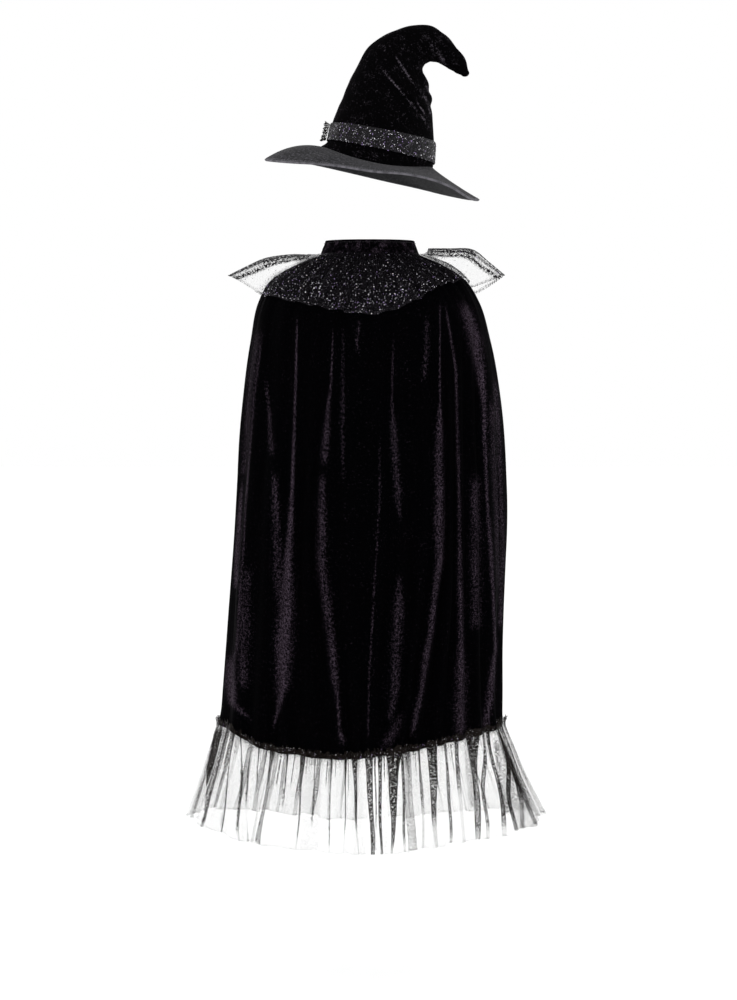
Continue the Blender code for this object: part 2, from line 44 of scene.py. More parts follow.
cape = {
    "length": 0.756,
    "squareness": 2.25,
    "frontEdgeAtNeck": 0.010,
    "frontEdgeAtHem": 0.013,
    "openingShift": 0.024,
    "gatherDeep": 0.0016,
    "topShare": 0.55,
    "foldLevels": (0.15, 0.45, 0.74),
    "wall": 0.0013,
    "rows": 132,
    "columnsPerFold": 20,
    "crush": 0.0011,
    "fineGather": 0.0011,
}
sectionNames = ("down", "halfWidth", "back", "front", "sideZ", "backZ", "frontZ", "middleX")
sections = np.array((
    (0.000, 0.075, 0.058, 0.056, 0.0000, 0.0000, -0.0120, 0.0020),
    (0.030, 0.103, 0.077, 0.076, -0.0100, -0.0230, -0.0345, 0.0010),
    (0.060, 0.130, 0.093, 0.092, -0.0235, -0.0485, -0.0600, 0.0000),
    (0.090, 0.152, 0.104, 0.103, -0.0420, -0.0760, -0.0880, 0.0000),
    (0.120, 0.167, 0.110, 0.109, -0.0690, -0.1055, -0.1170, 0.0010),
    (0.180, 0.182, 0.117, 0.116, -0.1270, -0.1650, -0.1765, 0.0035),
    (0.270, 0.196, 0.122, 0.120, -0.2160, -0.2550, -0.2660, 0.0060),
    (0.400, 0.203, 0.126, 0.125, -0.3460, -0.3850, -0.3930, 0.0050),
    (0.540, 0.208, 0.131, 0.131, -0.4860, -0.5250, -0.5300, -0.0010),
    (0.660, 0.210, 0.136, 0.136, -0.6060, -0.6450, -0.6480, -0.0085),
    (0.756, 0.214, 0.140, 0.140, -0.7040, -0.7360, -0.7410, -0.0115),
))

# Fold crests from the left front edge round the back to the right one: places at three levels, and two depths
foldNames = ("xTop", "xMiddle", "xHem", "deepMiddle", "deepHem")
leftFrontFolds = (
    (-0.036, -0.040, -0.034, 0.005, 0.010),
    (-0.064, -0.078, -0.076, 0.007, 0.012),
    (-0.096, -0.118, -0.127, 0.006, 0.011),
    (-0.124, -0.150, -0.160, 0.007, 0.012),
    (-0.150, -0.180, -0.192, 0.006, 0.010),
    (-0.240, -0.250, -0.260, 0.006, 0.009),
)
backFolds = (
    (-0.159, -0.183, -0.198, 0.006, 0.009),
    (-0.130, -0.146, -0.161, 0.005, 0.008),
    (-0.103, -0.113, -0.127, 0.007, 0.013),
    (-0.079, -0.091, -0.084, 0.005, 0.008),
    (-0.049, -0.069, -0.040, 0.009, 0.013),
    (-0.025, -0.030, -0.017, 0.006, 0.005),
    (0.014, 0.015, 0.003, 0.007, 0.009),
    (0.040, 0.050, 0.034, 0.009, 0.010),
    (0.078, 0.080, 0.051, 0.006, 0.005),
    (0.102, 0.107, 0.070, 0.009, 0.013),
    (0.117, 0.121, 0.103, 0.004, 0.009),
    (0.133, 0.136, 0.136, 0.008, 0.012),
    (0.150, 0.158, 0.164, 0.006, 0.009),
    (0.167, 0.181, 0.189, 0.007, 0.009),
)
rightFrontFolds = (
    (0.240, 0.250, 0.260, 0.006, 0.009),
    (0.152, 0.178, 0.187, 0.007, 0.011),
    (0.126, 0.152, 0.158, 0.006, 0.010),
    (0.098, 0.116, 0.122, 0.007, 0.012),
    (0.066, 0.084, 0.096, 0.006, 0.011),
    (0.038, 0.052, 0.066, 0.005, 0.010),
)
allFolds = leftFrontFolds + backFolds + rightFrontFolds
lastEdge = len(allFolds) + 1
leftSeam = len(leftFrontFolds) + 0.5
rightSeam = leftSeam + len(backFolds)


def smooth(at, places, values):
    # A smooth curve through the values, flat past its ends
    places = np.asarray(places, float)
    values = np.asarray(values, float)
    slopes = np.gradient(values, places)
    at = np.clip(np.asarray(at, float), places[0], places[-1])
    low = np.clip(np.searchsorted(places, at, side="right") - 1, 0, len(places) - 2)
    step = places[low + 1] - places[low]
    t = (at - places[low]) / step
    return (
        (2 * t**3 - 3 * t**2 + 1) * values[low]
        + (t**3 - 2 * t**2 + t) * step * slopes[low]
        + (3 * t**2 - 2 * t**3) * values[low + 1]
        + (t**3 - t**2) * step * slopes[low + 1]
    )


def unit(vectors):
    return vectors / np.maximum(np.linalg.norm(vectors, axis=-1, keepdims=True), 1e-12)


def ease(t):
    t = np.clip(t, 0, 1)
    return t * t * (3 - 2 * t)


def outward(grid, closed=False):
    if closed:
        across = np.roll(grid, -1, axis=1) - np.roll(grid, 1, axis=1)
    else:
        across = np.gradient(grid, axis=1)
    return unit(np.cross(np.gradient(grid, axis=0), across))


def waves(a, b, seed, count, aRange, bRange):
    # Smooth noise of about -1 to 1 over two coordinates, from a few seeded waves
    maker = np.random.default_rng(seed)
    total = 0
    for _ in range(count):
        total = total + np.sin(
            2 * math.pi * (maker.uniform(*aRange) * a + maker.uniform(*bRange) * b * maker.choice((-1, 1)) + maker.uniform())
        )
    return total / math.sqrt(count) / 1.2


def sectionAt(down):
    return {name: float(smooth(down, sections[:, 0], sections[:, i])) for i, name in enumerate(sectionNames)}


def plainRing(ring, angles):
    sine, cosine = np.sin(angles), np.cos(angles)
    depth = np.where(cosine > 0, ring["back"], ring["front"])
    power = cape["squareness"]
    radius = ((np.abs(sine) / ring["halfWidth"]) ** power + (np.abs(cosine) / depth) ** power) ** (-1 / power)
    endZ = np.where(cosine > 0, ring["backZ"], ring["frontZ"])
    z = ring["sideZ"] + (endZ - ring["sideZ"]) * cosine**2
    return np.stack([ring["middleX"] + radius * sine, -radius * cosine, z], axis=-1)


halfTurn = np.linspace(0, math.pi / 2, 181)
wholeTurn = np.linspace(-1.1 * math.pi, 1.1 * math.pi, 1585)


def crestAngles(ring, down):
    places = {}
    for name, angles in (("back", halfTurn), ("front", math.pi - halfTurn)):
        places[name] = (plainRing(ring, angles)[:, 0] - ring["middleX"], angles)

    def angleOf(x, side):
        far, angles = places[side]
        return math.copysign(float(np.interp(abs(x), far, angles)), x)

    def edgeAngle(x, side):
        return side * (math.pi - math.copysign(math.pi - abs(angleOf(x, "front")), x * side))

    known = sectionAt(max(down, cape["foldLevels"][0]))

    def crestX(fold):
        x = float(smooth(down, cape["foldLevels"], fold[:3]))
        return (x - known["middleX"]) * ring["halfWidth"] / known["halfWidth"]

    share = down / cape["length"]
    edge = cape["frontEdgeAtNeck"] + (cape["frontEdgeAtHem"] - cape["frontEdgeAtNeck"]) * share
    shift = cape["openingShift"] * share
    angles = [edgeAngle(shift - edge, -1)]
    for folds, side in ((leftFrontFolds, "front"), (backFolds, "back"), (rightFrontFolds, "front")):
        angles += [angleOf(crestX(fold), side) for fold in folds]
    angles.append(edgeAngle(shift + edge, 1))
    return np.array(angles)


def foldDepths(down):
    middle = np.array([fold[3] for fold in allFolds])
    low = np.array([fold[4] for fold in allFolds])
    levels = cape["foldLevels"]
    if down < levels[0]:
        top = cape["topShare"] * middle
        first = np.full(len(middle), cape["gatherDeep"])
        deep = first * min(down / 0.036, 1) + (top - first) * max(down - 0.036, 0) / (levels[0] - 0.036)
    elif down < levels[1]:
        deep = middle * (cape["topShare"] + (1 - cape["topShare"]) * (down - levels[0]) / (levels[1] - levels[0]))
    else:
        deep = middle + (low - middle) * min((down - levels[1]) / (levels[2] - levels[1]), 1)
    return np.concatenate([[0], deep, [0]])


def unfolded(at, down):
    ring = sectionAt(down)
    points = plainRing(ring, wholeTurn)
    length = np.concatenate([[0], np.cumsum(np.linalg.norm(np.diff(points, axis=0), axis=1))])
    crests = np.interp(crestAngles(ring, down), wholeTurn, length)
    # Between crests the cloth is shared out evenly, with no kink at a crest
    place = smooth(at, np.arange(lastEdge + 1), crests)
    return plainRing(ring, np.interp(place, length, wholeTurn))


# The back's hem hangs lower on the left: place across, then how much lower
lowHem = (
    (-0.300, 0), (-0.200, 0), (-0.171, 0.0094), (-0.148, 0.0122), (-0.100, 0.0088),
    (-0.053, 0.0062), (-0.034, 0.0040), (0.015, 0), (0.300, 0),
)


def hemDip(points):
    return np.maximum(smooth(points[:, 0], *zip(*lowHem)), 0) * (points[:, 1] < 0)


def capeRow(at, down):
    # Points of the velvet's outer face. The folds are pressed in, then come the gathers and the crush.
    reach = 0.002
    along = unfolded(at, min(down + reach, cape["length"])) - unfolded(at, max(down - reach, 0))
    across = unfolded(at + 0.05, down) - unfolded(at - 0.05, down)
    out = unit(np.cross(along, across))
    deep = smooth(at, np.arange(lastEdge + 1), foldDepths(down))
    profile = ((1 - np.cos(2 * math.pi * at)) / 2) ** 1.15
    inward = deep * profile
    gathers = cape["fineGather"] * math.exp(-down / 0.10) * min(down / 0.012, 1)
    inward = inward + gathers * (1 - np.cos(2 * math.pi * (3 * at + 0.35 * waves(at, down * 8, 3, 5, (0.1, 0.9), (0.1, 0.5))))) / 2
    soft = min(down / 0.05, 1) * min((cape["length"] - down) / 0.03 + 0.15, 1)
    slow = waves(at, down, 11, 12, (0.25, 1.1), (0.8, 4.2))
    quick = waves(at, down, 12, 14, (0.8, 3.2), (2.0, 9.0))
    inward = inward + cape["crush"] * soft * (1.5 * (slow + 1) + 0.42 * quick * (0.4 + 0.6 * profile))
    points = unfolded(at, down) - out * inward[:, None]
    points[:, 2] -= hemDip(points) * ease((down - 0.56) / 0.19)
    return points


def gridObject(name, grid, material, uv, closed=False, tip=None, values=None, keepFaces=None):
    # A mesh from rows that run down and columns that run round. The UV map is in metres along the cloth.
    rows, columns = grid.shape[:2]
    points = grid.reshape(-1, 3)
    beside = np.arange(columns if closed else columns - 1)
    a = (np.arange(rows - 1)[:, None] * columns + beside).ravel()
    b = (np.arange(rows - 1)[:, None] * columns + (beside + 1) % columns).ravel()
    quads = np.stack([a, a + columns, b + columns, b], axis=1)
    faces = quads.tolist()
    flatUv = uv.reshape(-1, 2)
    loopUv = flatUv[quads].copy()
    if closed:
        turn = uv[0, -1, 0] + (uv[0, 1, 0] - uv[0, 0, 0])
        wrapped = (quads[:, 2] % columns == 0) | (quads[:, 3] % columns == 0)
        loopUv[wrapped, 2:, 0] += turn
    loopUv = loopUv.reshape(-1, 2)
    if tip is not None:
        points = np.vstack([points, tip])
        faces += [[len(points) - 1, c, (c + 1) % columns] for c in range(columns)]
        fan = [[flatUv[c], flatUv[c], flatUv[(c + 1) % columns]] for c in range(columns)]
        loopUv = np.vstack([loopUv, np.array(fan).reshape(-1, 2)])
    mesh = bpy.data.meshes.new(name)
    mesh.from_pydata(points.tolist(), [], faces)
    layer = mesh.uv_layers.new(name="cloth")
    layer.data.foreach_set("uv", loopUv.astype(np.float32).ravel())
    for key, value in (values or {}).items():
        attribute = mesh.attributes.new(key, "FLOAT", "POINT")
        flat = np.zeros(len(points), np.float32)
        flat[: rows * columns] = value.reshape(-1)
        attribute.data.foreach_set("value", flat)
    mesh.shade_smooth()
    mesh.materials.append(material)
    piece = bpy.data.objects.new(name, mesh)
    bpy.context.scene.collection.objects.link(piece)
    return piece


def addWall(piece, thickness):
    wall = piece.modifiers.new("wall", "SOLIDIFY")
    wall.thickness = thickness
    wall.offset = -1
    wall.use_rim = True
    return wall


# Shader helpers
def addNode(tree, kind, **settings):
    made = tree.nodes.new(kind)
    for key, value in settings.items():
        setattr(made, key, value)
    return made


def link(tree, source, target):
    tree.links.new(source, target)


def newGroup(name, inputs, outputs):
    group = bpy.data.node_groups.new(name, "ShaderNodeTree")
    for title, kind, value in inputs:
        made = group.interface.new_socket(title, in_out="INPUT", socket_type=kind)
        if value is not None:
            made.default_value = value
    for title, kind in outputs:
        group.interface.new_socket(title, in_out="OUTPUT", socket_type=kind)
    return group, addNode(group, "NodeGroupInput"), addNode(group, "NodeGroupOutput")


def mathNode(tree, operation, first, second=None, clamp=False):
    made = addNode(tree, "ShaderNodeMath", operation=operation, use_clamp=clamp)
    for slot, value in zip(made.inputs, (first, second)):
        if value is None:
            continue
        if isinstance(value, (int, float)):
            slot.default_value = value
        else:
            link(tree, value, slot)
    return made.outputs[0]


def rangeNode(tree, value, fromMin, fromMax, toMin, toMax, kind="SMOOTHSTEP"):
    made = addNode(tree, "ShaderNodeMapRange", interpolation_type=kind)
    for title, number in (("From Min", fromMin), ("From Max", fromMax), ("To Min", toMin), ("To Max", toMax)):
        if isinstance(number, (int, float)):
            made.inputs[title].default_value = number
        else:
            link(tree, number, made.inputs[title])
    link(tree, value, made.inputs["Value"])
    return made.outputs["Result"]


def noiseNode(tree, vector, scale, detail=2.0, roughness=0.5, stretch=None):
    if stretch is not None:
        mapping = addNode(tree, "ShaderNodeMapping")
        mapping.inputs["Scale"].default_value = stretch
        link(tree, vector, mapping.inputs["Vector"])
        vector = mapping.outputs["Vector"]
    made = addNode(tree, "ShaderNodeTexNoise")
    made.inputs["Detail"].default_value = detail
    made.inputs["Roughness"].default_value = roughness
    if isinstance(scale, (int, float)):
        made.inputs["Scale"].default_value = scale
    else:
        link(tree, scale, made.inputs["Scale"])
    link(tree, vector, made.inputs["Vector"])
    return made.outputs["Fac"]


def mixColours(tree, fac, first, second):
    made = addNode(tree, "ShaderNodeMix", data_type="RGBA")
    link(tree, fac, made.inputs["Factor"])
    for socket, colour in ((made.inputs[6], first), (made.inputs[7], second)):
        if isinstance(colour, tuple):
            socket.default_value = (*colour, 1)
        else:
            link(tree, colour, socket)
    return made.outputs[2]


def makeVelvetNap():
    # Patches of pile that were crushed different ways, longer down the cloth than across, and single tufts
    group, start, end = newGroup(
        "velvetNap",
        (("Vector", "NodeSocketVector", None), ("Patch scale", "NodeSocketFloat", 60.0), ("Pile scale", "NodeSocketFloat", 800.0)),
        (("Crush", "NodeSocketFloat"), ("Pile", "NodeSocketFloat"), ("Height", "NodeSocketFloat")),
    )
    vector = start.outputs["Vector"]
    patches = noiseNode(group, vector, start.outputs["Patch scale"], 4.0, 0.62, (1.0, 0.32, 1.0))
    crush = rangeNode(group, patches, 0.40, 0.66, 0.0, 1.0)
    pile = noiseNode(group, vector, start.outputs["Pile scale"], 1.0, 0.5)
    coarse = noiseNode(group, vector, 300.0, 2.0, 0.7, (1.0, 0.8, 1.0))
    height = mathNode(group, "ADD", mathNode(group, "MULTIPLY", patches, 1.0), mathNode(group, "MULTIPLY", coarse, 0.35))
    height = mathNode(group, "ADD", height, mathNode(group, "MULTIPLY", pile, 0.12))
    link(group, crush, end.inputs["Crush"])
    link(group, mathNode(group, "ADD", mathNode(group, "MULTIPLY", pile, 0.5), mathNode(group, "MULTIPLY", coarse, 0.5)), end.inputs["Pile"])
    link(group, height, end.inputs["Height"])
    return group


def makeNetThreads():
    # A small diamond net. Where the cloth is bunched, its threads close up.
    group, start, end = newGroup(
        "netThreads",
        (
            ("Vector", "NodeSocketVector", None),
            ("Pitch", "NodeSocketFloat", 0.0017),
            ("Half thread", "NodeSocketFloat", 0.035),
            ("Bunch", "NodeSocketFloat", 0.0),
        ),
        (("Thread", "NodeSocketFloat"),),
    )
    turned = addNode(group, "ShaderNodeMapping")
    turned.inputs["Rotation"].default_value = (0, 0, math.radians(45))
    link(group, start.outputs["Vector"], turned.inputs["Vector"])
    cells = addNode(group, "ShaderNodeTexVoronoi", voronoi_dimensions="2D", feature="DISTANCE_TO_EDGE")
    cells.inputs["Randomness"].default_value = 0.22
    link(group, mathNode(group, "DIVIDE", 1.0, start.outputs["Pitch"]), cells.inputs["Scale"])
    link(group, turned.outputs["Vector"], cells.inputs["Vector"])
    crowded = rangeNode(group, noiseNode(group, start.outputs["Vector"], 400.0, 2.0, 0.6), 0.38, 0.60, 0.15, 1.75, "LINEAR")
    bunched = mathNode(group, "MULTIPLY", mathNode(group, "MULTIPLY", start.outputs["Bunch"], crowded), 0.46)
    reach = mathNode(group, "ADD", start.outputs["Half thread"], bunched)
    near = mathNode(group, "MULTIPLY", reach, 0.75)
    thread = rangeNode(group, cells.outputs["Distance"], near, mathNode(group, "MULTIPLY", reach, 1.25), 1.0, 0.0)
    link(group, thread, end.inputs["Thread"])
    return group


def makeFeltFibre():
    group, start, end = newGroup(
        "feltFibre",
        (("Vector", "NodeSocketVector", None), ("Scale", "NodeSocketFloat", 900.0)),
        (("Fibre", "NodeSocketFloat"), ("Mottle", "NodeSocketFloat"), ("Height", "NodeSocketFloat")),
    )
    vector = start.outputs["Vector"]
    scale = start.outputs["Scale"]
    one = noiseNode(group, vector, scale, 3.0, 0.7, (1.0, 0.5, 1.0))
    two = noiseNode(group, vector, scale, 3.0, 0.7, (0.5, 1.0, 1.0))
    fibre = mathNode(group, "MAXIMUM", one, two)
    mottle = noiseNode(group, vector, 70.0, 3.0, 0.6)
    link(group, fibre, end.inputs["Fibre"])
    link(group, mottle, end.inputs["Mottle"])
    link(group, mathNode(group, "ADD", fibre, mathNode(group, "MULTIPLY", mottle, 0.4)), end.inputs["Height"])
    return group


velvetNap = makeVelvetNap()
netThreads = makeNetThreads()
feltFibre = makeFeltFibre()


def newMaterial(name):
    material = bpy.data.materials.new(name)
    material.use_nodes = True
    tree = material.node_tree
    return material, tree, tree.nodes["Principled BSDF"]


def placeGroup(tree, group, vector, **numbers):
    made = addNode(tree, "ShaderNodeGroup", node_tree=group)
    link(tree, vector, made.inputs["Vector"])
    for key, value in numbers.items():
        made.inputs[key].default_value = value
    return made


def uvOf(tree):
    return addNode(tree, "ShaderNodeUVMap", uv_map="cloth").outputs["UV"]


def addBump(tree, height, strength, distance, shader):
    bump = addNode(tree, "ShaderNodeBump")
    bump.inputs["Strength"].default_value = strength
    bump.inputs["Distance"].default_value = distance
    link(tree, height, bump.inputs["Height"])
    link(tree, bump.outputs["Normal"], shader.inputs["Normal"])


def makeVelvet(name, patchScale, dark, light, sheen, faint, onObject=False):
    # Where "nap" is, the base colour takes a painted highlight as fine violet-grey mottling along the cape's folds and
    # the crown's creases; on the collar it is mottling of the velvet's tone
    material, tree, shader = newMaterial(name)
    vector = addNode(tree, "ShaderNodeTexCoord").outputs["Object"] if onObject else uvOf(tree)
    nap = placeGroup(tree, velvetNap, vector, **{"Patch scale": patchScale})
    highlightAndMottle = addNode(tree, "ShaderNodeAttribute", attribute_name="nap")
    amount = mathNode(tree, "ADD", highlightAndMottle.outputs["Fac"], mathNode(tree, "MULTIPLY", nap.outputs["Crush"], faint), clamp=True)
    # Where the painted highlight and the crush patches are weak, only the highest grains of the pile noise take the
    # lighter colour
    hidden = rangeNode(tree, amount, 0, 1, 0.61, 0.44, "LINEAR")
    lifted = mathNode(tree, "MULTIPLY", mathNode(tree, "SUBTRACT", nap.outputs["Pile"], hidden), 7.0, clamp=True)
    tone = mathNode(tree, "MULTIPLY", lifted, rangeNode(tree, amount, 0, 1, 0.30, 1.0, "LINEAR"))
    link(tree, mixColours(tree, tone, dark, light), shader.inputs["Base Color"])
    link(tree, rangeNode(tree, tone, 0, 1, 0.9, 0.6), shader.inputs["Roughness"])
    shader.inputs["Specular IOR Level"].default_value = 0.01
    shader.inputs["Sheen Weight"].default_value = sheen
    shader.inputs["Sheen Roughness"].default_value = 0.25
    shader.inputs["Sheen Tint"].default_value = (0.60, 0.50, 0.66, 1)
    addBump(tree, nap.outputs["Height"], 0.5, 0.0010, shader)
    return material


velvetMaterial = makeVelvet("crushedVelvet", 60.0, (0.0003, 0.00026, 0.0005), (0.056, 0.041, 0.057), 0.007, 0.16)
hatVelvetMaterial = makeVelvet("hatVelvet", 70.0, (0.0009, 0.0008, 0.0010), (0.085, 0.074, 0.090), 0.016, 0.40, onObject=True)


def makeNet(name, halfThread, colour):
    material, tree, shader = newMaterial(name)
    threads = placeGroup(tree, netThreads, uvOf(tree), **{"Half thread": halfThread})
    bunch = addNode(tree, "ShaderNodeAttribute", attribute_name="bunch")
    link(tree, bunch.outputs["Fac"], threads.inputs["Bunch"])
    link(tree, threads.outputs["Thread"], shader.inputs["Alpha"])
    tint = noiseNode(tree, uvOf(tree), 500.0, 2.0)
    link(tree, mixColours(tree, tint, colour, tuple(1.9 * c for c in colour)), shader.inputs["Base Color"])
    shader.inputs["Roughness"].default_value = 0.5
    shader.inputs["Specular IOR Level"].default_value = 0.04
    return material


netMaterial = makeNet("glitterNet", 0.022, (0.0065, 0.0050, 0.0042))
frillNetMaterial = makeNet("shoulderNet", 0.008, (0.0060, 0.0052, 0.0065))


def makeFelt():
    material, tree, shader = newMaterial("charcoalFelt")
    felt = placeGroup(tree, feltFibre, uvOf(tree), **{"Scale": 330.0})
    fac = rangeNode(tree, felt.outputs["Fibre"], 0.52, 0.67, 0.0, 1.0)
    colour = mixColours(tree, fac, (0.0060, 0.0058, 0.0072), (0.072, 0.069, 0.080))
    # Painted shade: where the brim faces down, its colour is mixed towards a darker grey.
    normal = addNode(tree, "ShaderNodeSeparateXYZ")
    link(tree, addNode(tree, "ShaderNodeNewGeometry").outputs["Normal"], normal.inputs["Vector"])
    paintedUndersideShade = rangeNode(tree, normal.outputs["Z"], -0.25, 0.15, 0.70, 0.0)
    colour = mixColours(tree, paintedUndersideShade, colour, (0.006, 0.0065, 0.0075))
    # The brim is lighter along its outer edge, mottled with the felt.
    edge = addNode(tree, "ShaderNodeAttribute", attribute_name="edge")
    paleEdge = mathNode(tree, "MULTIPLY", edge.outputs["Fac"], rangeNode(tree, felt.outputs["Mottle"], 0.35, 0.6, 0.4, 1.0))
    link(tree, mixColours(tree, paleEdge, colour, (0.13, 0.125, 0.14)), shader.inputs["Base Color"])
    link(tree, rangeNode(tree, felt.outputs["Mottle"], 0.3, 0.7, 0.98, 0.85), shader.inputs["Roughness"])
    shader.inputs["Specular IOR Level"].default_value = 0.06
    shader.inputs["Sheen Weight"].default_value = 0.05
    shader.inputs["Sheen Roughness"].default_value = 0.5
    addBump(tree, felt.outputs["Height"], 0.5, 0.0006, shader)
    return material


feltMaterial = makeFelt()


def makeBandCloth():
    material, tree, shader = newMaterial("glitterCloth")
    grains = addNode(tree, "ShaderNodeTexVoronoi", voronoi_dimensions="2D", feature="F1")
    grains.inputs["Scale"].default_value = 1100.0
    link(tree, uvOf(tree), grains.inputs["Vector"])
    split = addNode(tree, "ShaderNodeSeparateColor")
    link(tree, grains.outputs["Color"], split.inputs["Color"])
    bright = rangeNode(tree, split.outputs["Red"], 0.70, 1.0, 0.0, 1.0)
    link(tree, mixColours(tree, bright, (0.0012, 0.0011, 0.0015), (0.026, 0.023, 0.030)), shader.inputs["Base Color"])
    link(tree, rangeNode(tree, split.outputs["Green"], 0, 1, 0.45, 0.8), shader.inputs["Roughness"])
    shader.inputs["Specular IOR Level"].default_value = 0.15
    addBump(tree, split.outputs["Blue"], 0.8, 0.0004, shader)
    return material


bandMaterial = makeBandCloth()


def makeFlakes():
    # Each flake carries its own tint, from smoky to silver and violet
    material, tree, shader = newMaterial("glitterFlakes")
    tint = addNode(tree, "ShaderNodeAttribute", attribute_name="tint")
    ramp = addNode(tree, "ShaderNodeValToRGB")
    ramp.color_ramp.interpolation = "CONSTANT"
    stops = ((0.0, (0.008, 0.0075, 0.009)), (0.42, (0.075, 0.068, 0.082)), (0.68, (0.42, 0.40, 0.45)), (0.84, (0.36, 0.26, 0.52)), (0.91, (0.95, 0.93, 1.0)))
    ramp.color_ramp.elements[0].color = (*stops[0][1], 1)
    ramp.color_ramp.elements[1].position = stops[1][0]
    ramp.color_ramp.elements[1].color = (*stops[1][1], 1)
    for place, colour in stops[2:]:
        ramp.color_ramp.elements.new(place).color = (*colour, 1)
    link(tree, tint.outputs["Fac"], ramp.inputs["Fac"])
    link(tree, ramp.outputs["Color"], shader.inputs["Base Color"])
    shader.inputs["Metallic"].default_value = 0.85
    link(tree, rangeNode(tree, tint.outputs["Fac"], 0, 1, 0.5, 0.3), shader.inputs["Roughness"])
    return material


flakeMaterial = makeFlakes()


def makeThread(name, colour):
    material, tree, shader = newMaterial(name)
    place = addNode(tree, "ShaderNodeTexCoord").outputs["Object"]
    link(tree, mixColours(tree, noiseNode(tree, place, 2500.0), colour, tuple(2.2 * c for c in colour)), shader.inputs["Base Color"])
    shader.inputs["Roughness"].default_value = 0.6
    return material


threadMaterial = makeThread("blackThread", (0.012, 0.011, 0.013))
greyThreadMaterial = makeThread("greyThread", (0.10, 0.098, 0.11))
print("materials made")


# Geometry Nodes helpers
def newTree(name, inputs):
    tree = bpy.data.node_groups.new(name, "GeometryNodeTree")
    tree.interface.new_socket("Geometry", in_out="INPUT", socket_type="NodeSocketGeometry")
    for title, kind, value in inputs:
        made = tree.interface.new_socket(title, in_out="INPUT", socket_type=kind)
        if value is not None:
            made.default_value = value
    tree.interface.new_socket("Geometry", in_out="OUTPUT", socket_type="NodeSocketGeometry")
    return tree, addNode(tree, "NodeGroupInput"), addNode(tree, "NodeGroupOutput")


def finishTree(tree, geometry, start, end):
    real = addNode(tree, "GeometryNodeRealizeInstances")
    link(tree, geometry, real.inputs["Geometry"])
    painted = addNode(tree, "GeometryNodeSetMaterial")
    link(tree, real.outputs["Geometry"], painted.inputs["Geometry"])
    link(tree, start.outputs["Material"], painted.inputs["Material"])
    link(tree, painted.outputs["Geometry"], end.inputs["Geometry"])


def makeFlakeTree():
    tree, start, end = newTree(
        "scatterFlakes",
        (
            ("Per square metre", "NodeSocketFloat", 10000.0),
            ("Flake size", "NodeSocketFloat", 0.0006),
            ("Lift", "NodeSocketFloat", 0.0002),
            ("Tilt", "NodeSocketFloat", 0.5),
            ("Seed", "NodeSocketInt", 1),
            ("Material", "NodeSocketMaterial", None),
        ),
    )
    spread = addNode(tree, "GeometryNodeDistributePointsOnFaces")
    link(tree, start.outputs["Geometry"], spread.inputs["Mesh"])
    dense = addNode(tree, "GeometryNodeInputNamedAttribute", data_type="FLOAT")
    dense.inputs["Name"].default_value = "dense"
    link(tree, mathNode(tree, "MULTIPLY", start.outputs["Per square metre"], dense.outputs["Attribute"]), spread.inputs["Density"])
    link(tree, start.outputs["Seed"], spread.inputs["Seed"])
    lifted = addNode(tree, "GeometryNodeSetPosition")
    link(tree, spread.outputs["Points"], lifted.inputs["Geometry"])
    away = addNode(tree, "ShaderNodeVectorMath", operation="SCALE")
    link(tree, spread.outputs["Normal"], away.inputs[0])
    link(tree, start.outputs["Lift"], away.inputs["Scale"])
    link(tree, away.outputs[0], lifted.inputs["Offset"])
    tint = addNode(tree, "FunctionNodeRandomValue", data_type="FLOAT")
    link(tree, start.outputs["Seed"], tint.inputs["Seed"])
    stored = addNode(tree, "GeometryNodeStoreNamedAttribute", data_type="FLOAT", domain="POINT")
    stored.inputs["Name"].default_value = "tint"
    link(tree, lifted.outputs["Geometry"], stored.inputs["Geometry"])
    link(tree, tint.outputs[1], stored.inputs["Value"])
    flake = addNode(tree, "GeometryNodeMeshCircle", fill_type="NGON")
    flake.inputs["Vertices"].default_value = 5
    link(tree, start.outputs["Flake size"], flake.inputs["Radius"])
    lean = addNode(tree, "FunctionNodeRandomValue", data_type="FLOAT_VECTOR")
    lean.inputs[0].default_value = (-1, -1, -3)
    lean.inputs[1].default_value = (1, 1, 3)
    leaned = addNode(tree, "ShaderNodeVectorMath", operation="SCALE")
    link(tree, lean.outputs[0], leaned.inputs[0])
    link(tree, start.outputs["Tilt"], leaned.inputs["Scale"])
    turn = addNode(tree, "FunctionNodeRotateRotation", rotation_space="LOCAL")
    link(tree, spread.outputs["Rotation"], turn.inputs["Rotation"])
    link(tree, leaned.outputs[0], turn.inputs["Rotate By"])
    sizes = addNode(tree, "FunctionNodeRandomValue", data_type="FLOAT")
    sizes.inputs[2].default_value = 0.55
    sizes.inputs[3].default_value = 1.35
    placed = addNode(tree, "GeometryNodeInstanceOnPoints")
    link(tree, stored.outputs["Geometry"], placed.inputs["Points"])
    link(tree, flake.outputs["Mesh"], placed.inputs["Instance"])
    link(tree, turn.outputs["Rotation"], placed.inputs["Rotation"])
    link(tree, sizes.outputs[1], placed.inputs["Scale"])
    finishTree(tree, placed.outputs["Instances"], start, end)
    return tree


